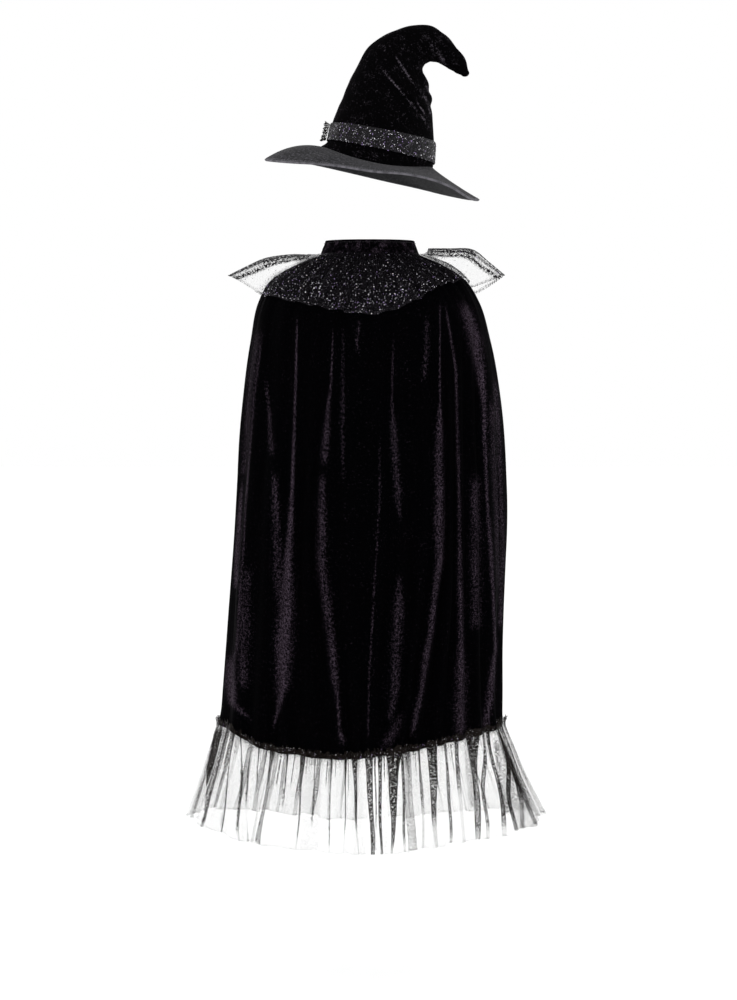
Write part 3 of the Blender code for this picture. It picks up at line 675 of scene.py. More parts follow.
def makeStitchTree():
    # The object's mesh is a chain of edges, and a stitch lies along it at each step
    tree, start, end = newTree(
        "sewAlong",
        (
            ("Step", "NodeSocketFloat", 0.0035),
            ("Stitch length", "NodeSocketFloat", 0.0025),
            ("Thread radius", "NodeSocketFloat", 0.00028),
            ("Material", "NodeSocketMaterial", None),
        ),
    )
    path = addNode(tree, "GeometryNodeMeshToCurve")
    link(tree, start.outputs["Geometry"], path.inputs["Mesh"])
    steps = addNode(tree, "GeometryNodeCurveToPoints", mode="LENGTH")
    link(tree, path.outputs["Curve"], steps.inputs["Curve"])
    link(tree, start.outputs["Step"], steps.inputs["Length"])
    ball = addNode(tree, "GeometryNodeMeshUVSphere")
    ball.inputs["Segments"].default_value = 6
    ball.inputs["Rings"].default_value = 4
    ball.inputs["Radius"].default_value = 1.0
    size = addNode(tree, "ShaderNodeCombineXYZ")
    link(tree, start.outputs["Thread radius"], size.inputs[0])
    link(tree, start.outputs["Thread radius"], size.inputs[1])
    half = mathNode(tree, "MULTIPLY", start.outputs["Stitch length"], 0.5)
    link(tree, half, size.inputs[2])
    placed = addNode(tree, "GeometryNodeInstanceOnPoints")
    link(tree, steps.outputs["Points"], placed.inputs["Points"])
    link(tree, ball.outputs["Mesh"], placed.inputs["Instance"])
    link(tree, steps.outputs["Rotation"], placed.inputs["Rotation"])
    link(tree, size.outputs[0], placed.inputs["Scale"])
    smoothed = addNode(tree, "GeometryNodeSetShadeSmooth")
    link(tree, placed.outputs["Instances"], smoothed.inputs["Geometry"])
    finishTree(tree, smoothed.outputs["Geometry"], start, end)
    return tree


flakeTree = makeFlakeTree()
stitchTree = makeStitchTree()


def bake(name, mesh, tree, **values):
    # Runs a tree over a mesh and keeps its result as a plain mesh
    carrier = bpy.data.objects.new(name + "Carrier", mesh)
    bpy.context.scene.collection.objects.link(carrier)
    modifier = carrier.modifiers.new(name, "NODES")
    modifier.node_group = tree
    for socket in tree.interface.items_tree:
        if socket.in_out == "INPUT" and socket.name in values:
            modifier[socket.identifier] = values[socket.name]
    bpy.context.view_layer.update()
    evaluated = carrier.evaluated_get(bpy.context.evaluated_depsgraph_get())
    result = bpy.data.meshes.new_from_object(evaluated)
    result.name = name
    bpy.data.objects.remove(carrier)
    piece = bpy.data.objects.new(name, result)
    bpy.context.scene.collection.objects.link(piece)
    return piece


def scatterFlakes(name, surface, density, size, seed, lift=0.0002, tilt=0.5):
    made = bake(
        name,
        surface.data.copy(),
        flakeTree,
        **{"Per square metre": density, "Flake size": size, "Lift": lift, "Tilt": tilt, "Seed": seed, "Material": flakeMaterial},
    )
    print("  ", name, len(made.data.polygons), "flakes")
    return made


def sewAlong(name, points, step, stitch, radius, material):
    mesh = bpy.data.meshes.new(name + "Path")
    mesh.from_pydata(points.tolist(), [(i, i + 1) for i in range(len(points) - 1)], [])
    return bake(name, mesh, stitchTree, **{"Step": step, "Stitch length": stitch, "Thread radius": radius, "Material": material})


# Cape panels
downRows = np.concatenate([np.linspace(0, 0.06, 16)[:-1], np.linspace(0.06, cape["length"], cape["rows"] - 15)])
capeAt = np.linspace(0, lastEdge, lastEdge * cape["columnsPerFold"] + 1)
seamColumns = [0, round(leftSeam * cape["columnsPerFold"]), round(rightSeam * cape["columnsPerFold"]), len(capeAt) - 1]
capeGrid = np.array([capeRow(capeAt, down) for down in downRows])
capeOut = outward(capeGrid)
hemSteps = np.linalg.norm(np.diff(capeGrid[-1], axis=0), axis=1)
clothU = np.concatenate([[0], np.cumsum(hemSteps)])
capeUv = np.stack(np.broadcast_arrays(clothU[None, :], -downRows[:, None]), axis=-1)
print("cape shaped,", capeGrid.shape, "cloth at hem", round(clothU[-1], 3))


# Painted highlights along the back's folds, where light catches the pile: height, place and width on the way down, then
# how strong.
# Both are as seen from behind at the distance of the neck.
paintedFoldHighlights = (
    (0.80, ((-0.126, -0.160, 0.0020), (-0.216, -0.172, 0.0022), (-0.291, -0.178, 0.0022), (-0.366, -0.184, 0.0024), (-0.441, -0.188, 0.0022), (-0.516, -0.194, 0.0026), (-0.591, -0.199, 0.0030), (-0.613, -0.205, 0.003))),
    (0.86, ((-0.340, -0.190, 0.003), (-0.441, -0.197, 0.0065), (-0.500, -0.200, 0.0045))),
    (0.88, ((-0.600, -0.206, 0.008), (-0.640, -0.209, 0.013), (-0.672, -0.205, 0.009), (-0.696, -0.180, 0.005))),
    (0.68, ((-0.190, -0.153, 0.003), (-0.246, -0.148, 0.004), (-0.300, -0.145, 0.006))),
    (0.68, ((-0.325, -0.142, 0.005), (-0.366, -0.140, 0.008), (-0.460, -0.136, 0.009), (-0.520, -0.134, 0.008))),
    (0.90, ((-0.096, -0.107, 0.002), (-0.186, -0.109, 0.0025), (-0.276, -0.112, 0.003), (-0.351, -0.115, 0.0035), (-0.411, -0.118, 0.006), (-0.456, -0.121, 0.009), (-0.516, -0.124, 0.014), (-0.576, -0.127, 0.016), (-0.636, -0.129, 0.014), (-0.670, -0.134, 0.006), (-0.711, -0.143, 0.002))),
    (0.74, ((-0.111, -0.053, 0.0015), (-0.186, -0.056, 0.0022), (-0.231, -0.061, 0.004), (-0.276, -0.064, 0.0075), (-0.312, -0.068, 0.006))),
    (0.74, ((-0.330, -0.070, 0.006), (-0.396, -0.070, 0.009), (-0.456, -0.071, 0.010), (-0.516, -0.064, 0.009), (-0.576, -0.056, 0.008), (-0.636, -0.050, 0.0075), (-0.666, -0.046, 0.004), (-0.711, -0.044, 0.003), (-0.735, -0.038, 0.009))),
    (0.56, ((-0.111, -0.038, 0.003), (-0.220, -0.039, 0.004), (-0.336, -0.038, 0.003))),
    (0.60, ((-0.096, -0.016, 0.005), (-0.146, -0.017, 0.004))),
    (0.66, ((-0.276, 0.017, 0.0016), (-0.366, 0.017, 0.0018), (-0.456, 0.011, 0.002), (-0.576, 0.004, 0.002), (-0.636, 0.001, 0.002), (-0.726, -0.001, 0.0018))),
    (0.70, ((-0.126, 0.037, 0.0016), (-0.216, 0.035, 0.002), (-0.261, 0.037, 0.006), (-0.306, 0.040, 0.007), (-0.351, 0.044, 0.007), (-0.396, 0.047, 0.003))),
    (0.68, ((-0.478, 0.046, 0.005), (-0.516, 0.046, 0.009), (-0.591, 0.041, 0.011), (-0.651, 0.040, 0.009), (-0.700, 0.031, 0.005))),
    (0.72, ((-0.686, 0.050, 0.006), (-0.715, 0.039, 0.011), (-0.741, 0.022, 0.010))),
    (0.66, ((-0.090, 0.088, 0.004), (-0.156, 0.086, 0.005), (-0.186, 0.082, 0.004))),
    (0.82, ((-0.070, 0.107, 0.0016), (-0.216, 0.107, 0.0022), (-0.261, 0.106, 0.007), (-0.321, 0.106, 0.008), (-0.396, 0.106, 0.010), (-0.456, 0.107, 0.008), (-0.516, 0.098, 0.0055), (-0.561, 0.094, 0.006), (-0.606, 0.086, 0.0065), (-0.651, 0.080, 0.0055), (-0.720, 0.065, 0.005))),
    (0.76, ((-0.080, 0.116, 0.002), (-0.171, 0.131, 0.003), (-0.291, 0.134, 0.003), (-0.366, 0.136, 0.0035), (-0.456, 0.137, 0.0045), (-0.576, 0.139, 0.006), (-0.636, 0.139, 0.011), (-0.720, 0.139, 0.013))),
    (0.86, ((-0.070, 0.142, 0.010), (-0.126, 0.160, 0.013), (-0.171, 0.167, 0.009), (-0.216, 0.173, 0.006), (-0.291, 0.175, 0.0035), (-0.366, 0.178, 0.003), (-0.441, 0.184, 0.005), (-0.516, 0.188, 0.0035), (-0.591, 0.191, 0.0035), (-0.651, 0.184, 0.008), (-0.711, 0.176, 0.007))),
    (0.72, ((-0.186, 0.190, 0.006), (-0.291, 0.197, 0.005), (-0.441, 0.202, 0.005), (-0.560, 0.198, 0.004))),
    (0.62, ((-0.330, 0.160, 0.010), (-0.441, 0.161, 0.011), (-0.560, 0.162, 0.011))),
    (0.64, ((-0.111, -0.165, 0.008), (-0.216, -0.179, 0.008), (-0.330, -0.187, 0.006))),
    (0.62, ((-0.470, -0.183, 0.010), (-0.560, -0.187, 0.012), (-0.650, -0.190, 0.012))),
    (0.62, ((-0.216, 0.184, 0.008), (-0.366, 0.192, 0.007), (-0.500, 0.197, 0.006))),
)
seenFrom = {"distance": 4.0, "height": -0.216}


def paintedFoldHighlightOf(grid, out):
    # How strong the painted fold highlight is at each point of the cape
    nearness = seenFrom["distance"] / (seenFrom["distance"] + grid[:, :, 1])
    x = grid[:, :, 0] * nearness
    z = seenFrom["height"] + (grid[:, :, 2] - seenFrom["height"]) * nearness
    back = ease((0.25 - out[:, :, 1]) / 0.3)
    nap = np.zeros(x.shape)
    for strength, points in paintedFoldHighlights:
        height, place, wide = (np.array(points)[::-1, i] for i in range(3))
        off = (x - np.interp(z, height, place)) / np.interp(z, height, wide)
        ends = ease((z - height[0]) / 0.02 + 0.5) * ease((height[-1] - z) / 0.03 + 0.5)
        nap = np.maximum(nap, strength * np.exp(-np.abs(off) ** 2.4) * ends * back)
    # The rest of the cape gets painted highlight streaks of its own, one or two to a fold
    maker = np.random.default_rng(71)
    at, down = np.meshgrid(capeAt, downRows)
    for fold in range(1, lastEdge):
        for _ in range(2):
            begin, long = maker.uniform(0.0, 0.5), maker.uniform(0.12, 0.4)
            path = fold + maker.uniform(-0.3, 0.3) + maker.uniform(-0.2, 0.2) * down / 0.7 + 0.03 * np.sin(down * 22 + fold)
            wide = maker.uniform(0.05, 0.15) * (0.6 + 0.8 * np.sin(down * 9 + fold) ** 2)
            ends = ease((down - begin) / 0.03) * ease((begin + long - down) / 0.03)
            nap = np.maximum(nap, maker.uniform(0.5, 0.9) * np.exp(-np.abs((at - path) / wide) ** 2.4) * ends * (1 - back))
    return nap


capeHighlightPaint = paintedFoldHighlightOf(capeGrid, capeOut)


def drawInEdges(grid, first, last, by):
    grid = grid.copy()
    if first:
        grid[:, 0] += unit(grid[:, 1] - grid[:, 0]) * by
    if last:
        grid[:, -1] += unit(grid[:, -2] - grid[:, -1]) * by
    return grid


capePieces = {}
for side, first, last in zip(("leftFront", "back", "rightFront"), seamColumns[:-1], seamColumns[1:]):
    part = slice(first, last + 1)
    panel = drawInEdges(capeGrid[:, part], first > 0, last < len(capeAt) - 1, 0.00018)
    node = {"leftFront": "cape_left_front", "back": "cape_back", "rightFront": "cape_right_front"}[side]
    # The "nap" attribute of the cape panels holds the painted fold highlights.
    piece = gridObject("cape" + side[0].upper() + side[1:], panel, velvetMaterial, capeUv[:, part], values={"nap": capeHighlightPaint[:, part]})
    addWall(piece, cape["wall"])
    capePieces[side] = piece
    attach(piece, "root")
    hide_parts(node)
print("cape panels done")

# Hem frill: net that is gathered onto the hem in knife pleats
hemFrill = {
    "below": 0.138,
    "moreAtSides": 0.009,
    "moreAtRight": 0.003,
    "heading": 0.012,
    "clear": 0.0016,
    "flare": 0.022,
    "moreFlareLeft": 0.016,
    "moreFlareRight": 0.033,
    "rows": 36,
    "headingRows": 5,
    "columnsPerPleat": 28,
    "spike": 0.006,
    "frontSpacing": 0.021,
    "layerGap": 0.0022,
    "ragged": 0.003,
    "seed": 21,
}
# Pleats of the back, left to right: place at the seam and at the edge, width there, how dense, and how far down
backPleats = (
    (-0.2190, -0.2475, 0.030, 0.005, 1.10, 1.00),
    (-0.1976, -0.2170, 0.006, 0.006, 0.45, 1.00),
    (-0.1887, -0.1868, 0.004, 0.002, 0.85, 0.90),
    (-0.1739, -0.1770, 0.005, 0.002, 0.80, 0.60),
    (-0.1590, -0.1690, 0.004, 0.002, 0.65, 0.40),
    (-0.1428, -0.1600, 0.011, 0.015, 0.36, 1.05),
    (-0.1180, -0.1300, 0.004, 0.0015, 0.55, 0.55),
    (-0.0960, -0.1020, 0.012, 0.003, 0.45, 0.90),
    (-0.0770, -0.0820, 0.003, 0.0015, 0.60, 0.70),
    (-0.0543, -0.0575, 0.004, 0.002, 0.65, 0.90),
    (-0.0326, -0.0340, 0.004, 0.002, 0.70, 0.75),
    (-0.0203, -0.0145, 0.010, 0.002, 0.90, 0.72),
    (0.0007, 0.0065, 0.013, 0.006, 1.00, 1.05),
    (0.0094, 0.0123, 0.003, 0.002, 0.60, 0.72),
    (0.0167, 0.0181, 0.007, 0.003, 0.90, 1.02),
    (0.0369, 0.0333, 0.023, 0.002, 1.05, 0.95),
    (0.0485, 0.0528, 0.004, 0.002, 0.85, 0.88),
    (0.0564, 0.0615, 0.010, 0.012, 0.18, 1.00),
    (0.0730, 0.0790, 0.003, 0.0015, 0.60, 0.60),
    (0.0930, 0.0980, 0.014, 0.002, 0.75, 0.75),
    (0.1130, 0.1170, 0.003, 0.0015, 0.60, 0.95),
    (0.1290, 0.1390, 0.004, 0.002, 0.60, 0.50),
    (0.1550, 0.1580, 0.018, 0.003, 0.60, 1.00),
    (0.1680, 0.1700, 0.003, 0.002, 0.60, 0.90),
    (0.1800, 0.1990, 0.005, 0.003, 0.70, 0.90),
    (0.1960, 0.2130, 0.004, 0.003, 0.58, 0.95),
    (0.2040, 0.2290, 0.004, 0.002, 0.42, 0.80),
    (0.2090, 0.2440, 0.004, 0.003, 0.36, 0.85),
)
# Where several layers of the net lie together at the back: how dense, then height, place and width on the way down
netLayers = (
    (0.76, ((-0.712, -0.2215, 0.0100), (-0.735, -0.2260, 0.0100), (-0.770, -0.2348, 0.0085), (-0.801, -0.2400, 0.0045), (-0.850, -0.2475, 0.0020))),
    (0.42, ((-0.728, 0.1950, 0.0070), (-0.750, 0.2000, 0.0100), (-0.790, 0.2090, 0.0130), (-0.818, 0.2130, 0.0130), (-0.838, 0.2150, 0.0120))),
    (0.30, ((-0.690, 0.1530, 0.0110), (-0.760, 0.1540, 0.0090), (-0.830, 0.1560, 0.0040))),
)

hemAt = np.linspace(0, lastEdge, lastEdge * 40 + 1)
hemPlain = unfolded(hemAt, cape["length"])
hemLong = np.concatenate([[0], np.cumsum(np.linalg.norm(np.diff(hemPlain, axis=0), axis=1))])
hemPoints = capeRow(hemAt, cape["length"])
headingPoints = capeRow(hemAt, cape["length"] - hemFrill["heading"])
averaged = np.ones(25) / 25
hemOff = np.stack([np.interp(hemAt, capeAt, np.convolve(np.pad(capeOut[-1][:, i], 12, "edge"), averaged, "valid")) for i in range(3)], axis=1)
hemOff = unit(hemOff)
hemLevel = unit(unit(hemPoints - hemPoints.mean(axis=0)) * (1, 1, 0))
hemFlare = hemFrill["flare"] + np.where(hemLevel[:, 0] < 0, hemFrill["moreFlareLeft"], hemFrill["moreFlareRight"]) * hemLevel[:, 0] ** 2
hemFall = hemFrill["below"] + hemFrill["moreAtSides"] * hemLevel[:, 0] ** 2 + hemFrill["moreAtRight"] * hemLevel[:, 0] - 0.6 * hemDip(hemPoints)
hemDrop = np.sqrt(hemFall**2 - hemFlare**2) - 0.002


def alongHem(place, values):
    if values.ndim == 1:
        return np.interp(place, hemLong, values)
    return np.stack([np.interp(place, hemLong, values[:, i]) for i in range(values.shape[1])], axis=1)


def netPoints(place, fallen, raised, stretch):
    # Points of the frill. "fallen" is 0 at the seam, 1 at the edge and -1 at the top of the heading.
    level = alongHem(place, hemLevel)
    if fallen < 0:
        base = alongHem(place, hemPoints) * (1 + fallen) - alongHem(place, headingPoints) * fallen
        away = raised
        down = np.zeros(len(place))
    else:
        base = alongHem(place, hemPoints)
        away = alongHem(place, hemFlare) * smooth(fallen, (0, 0.45, 1), (0, 0.38, 1)) + raised
        down = alongHem(place, hemDrop) * fallen * stretch
    points = base + alongHem(place, hemOff) * hemFrill["clear"] + level * away[:, None]
    points[:, 2] -= down
    return points


def pleatsOf(side):
    maker = np.random.default_rng(hemFrill["seed"] + {"leftFront": 0, "back": 1, "rightFront": 2}[side])
    leftSeamLong, rightSeamLong = np.interp((leftSeam, rightSeam), hemAt, hemLong)
    if side == "back":
        back = (hemAt > leftSeam - 0.3) & (hemAt < rightSeam + 0.3)
        topX = np.maximum.accumulate(hemPlain[back, 0])
        edgeX = np.maximum.accumulate(hemPlain[back, 0] + hemLevel[back, 0] * hemFlare[back])
        rows = np.array(backPleats)
        top = np.clip(np.interp(rows[:, 0], topX, hemLong[back]), leftSeamLong + 0.002, rightSeamLong - 0.002)
        edge = np.clip(np.interp(rows[:, 1], edgeX, hemLong[back]), leftSeamLong + 0.002, rightSeamLong - 0.002)
        ends = (leftSeamLong, rightSeamLong)
        table = rows[:, 2:]
    else:
        ends = (0.0, leftSeamLong) if side == "leftFront" else (rightSeamLong, hemLong[-1])
        count = round((ends[1] - ends[0]) / hemFrill["frontSpacing"])
        top = ends[0] + (np.arange(count) + 0.5 + maker.uniform(-0.22, 0.22, count)) * (ends[1] - ends[0]) / count
        edge = top + maker.normal(0, 0.002, count)
        table = np.stack([maker.uniform(0.003, 0.009, count), maker.uniform(0.002, 0.006, count), maker.uniform(0.08, 0.36, count), maker.uniform(0.4, 1.0, count)], axis=1)
    edge = np.maximum.accumulate(edge + np.arange(len(edge)) * 1e-5)
    return ends, top, edge, table, maker


def hemFrillGrid(side):
    ends, top, edge, table, maker = pleatsOf(side)
    count = len(top)
    perPleat = hemFrill["columnsPerPleat"]
    t = np.arange(perPleat) / perPleat
    uneven = maker.uniform(0.45, 1.0, count)
    longer = maker.uniform(-1, 0.7, count) * hemFrill["ragged"] + np.where(table[:, 2] > 0.6, 0.003, 0)
    fallens = np.concatenate([np.linspace(-1, 0, hemFrill["headingRows"] + 1)[:-1], np.linspace(0, 1, hemFrill["rows"])])
    columns = count * perPleat + 1
    jitter = np.convolve(maker.normal(0, 1, columns + 4), np.ones(5) / 5, "valid")
    # Fine gathers that run out a little way below the seam, and how grey the flat net of each pleat is
    fine = (maker.random(columns) < 0.11) * maker.uniform(0.25, 0.75, columns)
    fineReach = maker.uniform(0.04, 0.34, columns)
    spikes = np.convolve(maker.random(columns + 2) ** 3, (0.25, 0.5, 0.25), "valid") * hemFrill["spike"]
    spread = np.convolve(maker.random(columns + 2) ** 2, (0.25, 0.5, 0.25), "valid") * hemFrill["spike"]
    veil = maker.uniform(0.0, 0.05, count)
    if side == "back":
        veil = np.where(np.array(backPleats)[:, 0] > 0.18, 0.17, veil)
    veil = np.append(np.repeat(veil, perPleat), veil[-1])
    rows, bunches, denses = [], [], []
    for fallen in fallens:
        v = max(fallen, 0.0)
        middle = top + (edge - top) * v
        # The folds wander a little on their way down
        middle = middle + 0.0012 * np.sin(7 * v + 2.3 * np.arange(count)) * v
        wide = (table[:, 0] + (table[:, 1] - table[:, 0]) * v**0.8) * (1 + 0.05 * np.sin(11 * v + 1.9 * np.arange(count)))
        open_ = 1.15 - 0.15 * ease(v / 0.25)
        borders = np.concatenate([[ends[0]], (middle[1:] + middle[:-1]) / 2, [ends[1]]])
        place = np.array([
            np.interp(t, (0, 0.375, 0.625, 1), (borders[j], middle[j] + wide[j] * open_ / 2, middle[j] - wide[j] * open_ / 2, borders[j + 1]))
            for j in range(count)
        ]).ravel()
        place = np.append(place, ends[1])
        eased = np.convolve(np.pad(place, 1, "edge"), (0.25, 0.5, 0.25), "valid")
        eased[0], eased[-1] = place[0], place[-1]
        place = np.clip(eased, ends[0], ends[1])
        layer = smooth(t, (0, 0.375, 0.5, 0.625, 1), (0, 1, 0, -1, 0))
        gap = hemFrill["layerGap"] * (0.35 + 0.65 * ease(v / 0.35))
        bulge = (1 + np.cos(2 * math.pi * t)) / 2
        high = float(smooth(v, (0, 0.45, 1), (0.0014, 0.0062, 0.0100))) if fallen >= 0 else 0.0014 - 0.0016 * fallen
        raised = (gap * layer)[None, :] + high * uneven[:, None] * bulge[None, :] + gap
        raised = np.append(raised.ravel(), gap + high * uneven[-1])
        stretch = 1 + np.append(np.repeat(longer, perPleat), longer[-1]) / hemFrill["below"] * v + jitter * 0.006 * v
        if fallen < 0:
            raised = raised + spread * abs(fallen) ** 1.5 * 0.7
        points = netPoints(place, fallen, raised, stretch)
        if fallen < -0.3:
            points[:, 2] += (spikes * 1.6 - 0.004) * (abs(fallen) - 0.3) / 0.7
        rows.append(points)
        # Each fold's two edges are dotted where the net doubles, and its inside is mottled
        dots = maker.uniform(0.25, 1.55, (2, count, 1)) ** 1.3
        edges = sum(dot * np.exp(-(((t - place) / 0.035) ** 2)) for dot, place in zip(dots, (0.385, 0.615)))
        inFold = maker.uniform(0.50, 0.95, (count, 1)) * ease((0.155 - np.abs(t - 0.5)) / 0.06) + 0.85 * edges
        fade = ease((table[:, 3] - v) / 0.22 + 0.35) if fallen >= 0 else np.ones(count)
        bunch = (table[:, 2] * fade)[:, None] * inFold
        seam = 0.30 * math.exp(-abs(fallen) / 0.05) + (0.55 if fallen < 0 else 0)
        bunch = np.append(bunch.ravel(), 0) + seam * (0.6 + 0.4 * jitter) + 0.08 * ease((v - 0.975) / 0.02)
        bunch = bunch + fine * ease((fineReach - v) / 0.12 + 0.4) + veil
        bunches.append(np.clip(bunch, 0, 1))
        denses.append(np.clip(0.35 + 1.6 * bunch + (4.0 if fallen < 0.04 else 0), 0, 5))
    grid = np.array(rows)
    bunches = np.array(bunches)
    nearness = seenFrom["distance"] / (seenFrom["distance"] + grid[:, :, 1])
    x, z = grid[:, :, 0] * nearness, seenFrom["height"] + (grid[:, :, 2] - seenFrom["height"]) * nearness
    flatNet = np.append(np.tile(np.where(np.abs(t - 0.5) > 0.17, 1.0, 0.35), count), 1.0)
    for strength, points in netLayers:
        height, place, wide = (np.array(points)[::-1, i] for i in range(3))
        off = (x - np.interp(z, height, place)) / np.interp(z, height, wide)
        ends = (z > height[0]) * ease((height[-1] - z) / 0.01 + 0.5) * (grid[:, :, 1] < 0.03) * (np.array(fallens)[:, None] >= 0)
        bunches = np.maximum(bunches, strength * (0.75 + 0.25 * jitter) * ease((1.12 - np.abs(off)) / 0.24) * ends * flatNet)
    middleRow = hemFrill["headingRows"] + hemFrill["rows"] // 2
    u = np.concatenate([[0], np.cumsum(np.linalg.norm(np.diff(grid[middleRow], axis=0), axis=1))])
    depth = np.where(fallens < 0, fallens * hemFrill["heading"], fallens * hemFrill["below"])
    uv = np.stack(np.broadcast_arrays(u[None, :], -depth[:, None]), axis=-1)
    return grid, uv, np.array(bunches), np.array(denses)


hemPieces = {}
for side in ("leftFront", "back", "rightFront"):
    grid, uv, bunch, dense = hemFrillGrid(side)
    node = {"leftFront": "hem_frill_left_front", "back": "hem_frill_back", "rightFront": "hem_frill_right_front"}[side]
    piece = gridObject("hemFrill" + side[0].upper() + side[1:], grid, netMaterial, uv, values={"bunch": bunch, "dense": dense})
    hemPieces[side] = piece
    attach(piece, "root")
    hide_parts(node)
print("hem frill done")

# Shoulder frill, with its flutes and the two wings
shoulderFrill = {"clear": 0.0020, "rows": 46, "columns": 760, "ripple": 0.0009, "ragged": 0.0004, "edge": 1 / 6, "calm": 0.55}
flutes = (
    (1.2, 0.010, 0.3), (2.6, 0.013, 0.3), (4.0, 0.011, 0.3), (5.8, 0.057, 0.06), (7.6, 0.010, 0.3),
    (8.8, 0.007, 0.3), (10.0, 0.010, 0.3), (11.2, 0.013, 0.3), (12.4, 0.009, 0.3), (13.6, 0.012, 0.3),
    (14.8, 0.010, 0.3), (16.0, 0.013, 0.3), (17.2, 0.011, 0.3), (18.4, 0.017, 0.3), (19.6, 0.016, 0.3),
    (21.2, 0.060, 0.25), (23.0, 0.013, 0.3), (24.4, 0.010, 0.3), (25.8, 0.012, 0.3),
)
frillWidths = (
    (0, 0.112), (6, 0.112), (11, 0.107), (14, 0.104), (16, 0.092),
    (18, 0.084), (19.6, 0.086), (21.2, 0.106), (23, 0.112), (27, 0.112),
)
wings = (3, 15)
# The ridges of the wings from the neck to the tip, as seen from behind at the distance of the neck
wingRidges = {
    3: ((0.2, -0.0908, 0.0012), (0.4, -0.1178, 0.0015), (0.6, -0.1538, -0.0042), (0.8, -0.1823, -0.0170), (1.0, -0.2097, -0.0306)),
    15: ((0.2, 0.0893, 0.0101), (0.4, 0.1208, 0.0102), (0.6, 0.1553, 0.0087), (0.8, 0.1808, -0.0105), (1.0, 0.2040, -0.0297)),
}


def onCape(values, at, down):
    # Values of a fine cape grid at any place on it
    column = at / lastEdge * (values.shape[1] - 1)
    row = np.interp(down, downRows, np.arange(len(downRows)))
    c = np.minimum(column.astype(int), values.shape[1] - 2)
    r = np.minimum(row.astype(int), values.shape[0] - 2)
    a, b = (column - c)[:, None], (row - r)[:, None]
    upper = values[r, c] * (1 - a) + values[r, c + 1] * a
    lower = values[r + 1, c] * (1 - a) + values[r + 1, c + 1] * a
    return upper * (1 - b) + lower * b


def shoulderFrillGrid():
    maker = np.random.default_rng(31)
    at = np.linspace(shoulderFrill["edge"], lastEdge - shoulderFrill["edge"], shoulderFrill["columns"])
    table = np.array(flutes)
    crests = table[:, 0]
    phase = np.interp(at, np.concatenate([[-0.2], crests, [lastEdge + 0.2]]), np.arange(len(crests) + 2))
    lifts, rises = np.interp(at, crests, table[:, 1]), np.interp(at, crests, table[:, 2])
    wave = (1 + np.cos(2 * math.pi * phase)) / 2
    widths = smooth(at, *zip(*frillWidths)) + np.convolve(maker.normal(0, shoulderFrill["ragged"], len(at) + 6), np.ones(7) / 7, "valid")
    lifts = np.where(lifts > 0.03, lifts, lifts * shoulderFrill["calm"])
    crestColumns = {wing: int(np.argmin(np.abs(at - crests[wing]))) for wing in wings}
    rows, bunches, denses = [], [], []
    for share in np.linspace(0, 1, shoulderFrill["rows"]):
        down = widths * share
        base = onCape(capeGrid, at, down)
        away = unit(onCape(outwardCalm, at, down))
        lean = unit(away + np.outer(rises * share, (0, 0, 1)))
        risen = math.sin(share * math.pi / 2) ** 1.2
        ripple = shoulderFrill["ripple"] * share * (1 + waves(at, share + 0 * at, 33, 10, (0.8, 2.6), (0.2, 1.2)))
        row = base + away * (shoulderFrill["clear"] + ripple)[:, None] + lean * (lifts * wave * risen)[:, None]
        off = [np.abs(phase - (wing + 1)) for wing in wings]
        for wing, far in zip(wings, off):
            # Each wing's ridge is drawn onto its own line, and its flanks follow
            crest = row[crestColumns[wing]]
            places, seenX, seenZ = np.array(wingRidges[wing]).T
            nearer = (seenFrom["distance"] + crest[1]) / seenFrom["distance"]
            goal = np.array((
                smooth(share, places, seenX) * nearer, crest[1],
                seenFrom["height"] + (smooth(share, places, seenZ) - seenFrom["height"]) * nearer,
            ))
            flank = np.where(far < 0.5, (1 + np.cos(2 * math.pi * np.minimum(far, 0.5))) / 2, 0)
            row = row + (goal - crest) * (flank * float(ease(share / 0.2)))[:, None]
        rows.append(row)
        onWing = np.maximum(*(ease(1 - (far - clear) / 0.15) for far, clear in zip(off, (0.30, 0.38)))) * ease((share - 0.22) / 0.2)
        ridge = np.zeros(len(at))
        ridgeHalf = 0.075 + 0.11 * (1 - share)
        towardTip = float(ease((share - 0.60) / 0.10))
        for far, full, fullAtTip in zip(off, (0.38, 0.32), (0.18, 0.06)):
            # A ridge has a line along its top, one below it and one between them that ends before the tip
            for place, strength in ((0, 0.95), (ridgeHalf, 0.90), (0.52 * ridgeHalf, 0.50 * (1 - towardTip))):
                ridge += strength * np.exp(-(((far - place) / 0.015) ** 2))
            ridge += (full + (fullAtTip - full) * towardTip) * (far < ridgeHalf)
        edgeLine = (0.30 - np.where(at < 12, 0.22, 0.04) * onWing) * float(ease((share - 0.955) / 0.03))
        soft = 0.05 + 0.09 * (1 + waves(at, share * 3 + 0 * at, 35, 12, (0.6, 2.8), (0.3, 1.5)))
        behind = (at > crests[wings[1]]) * ease(1 - (off[1] - 0.95) / 0.2)  # the front of the right shoulder is sheer
        bunch = (0.10 + soft) * (1 - onWing) * (1 - 0.8 * behind) + ridge * ease(share / 0.25) + edgeLine
        bunches.append(np.clip(bunch, 0, 1))
        denses.append(np.clip((1 - 0.97 * onWing) * (0.7 + 0.5 * share) + 0.25 * ridge * ease(share / 0.25), 0.02, 1.5))
    grid = np.array(rows)
    middle = np.linalg.norm(np.diff(grid[len(grid) // 2], axis=0), axis=1)
    u = np.concatenate([[0], np.cumsum(middle)])
    v = -np.linspace(0, 1, shoulderFrill["rows"])[:, None] * widths[None, :]
    uv = np.stack(np.broadcast_arrays(u[None, :], v), axis=-1)
    return grid, uv, np.array(bunches), np.array(denses)


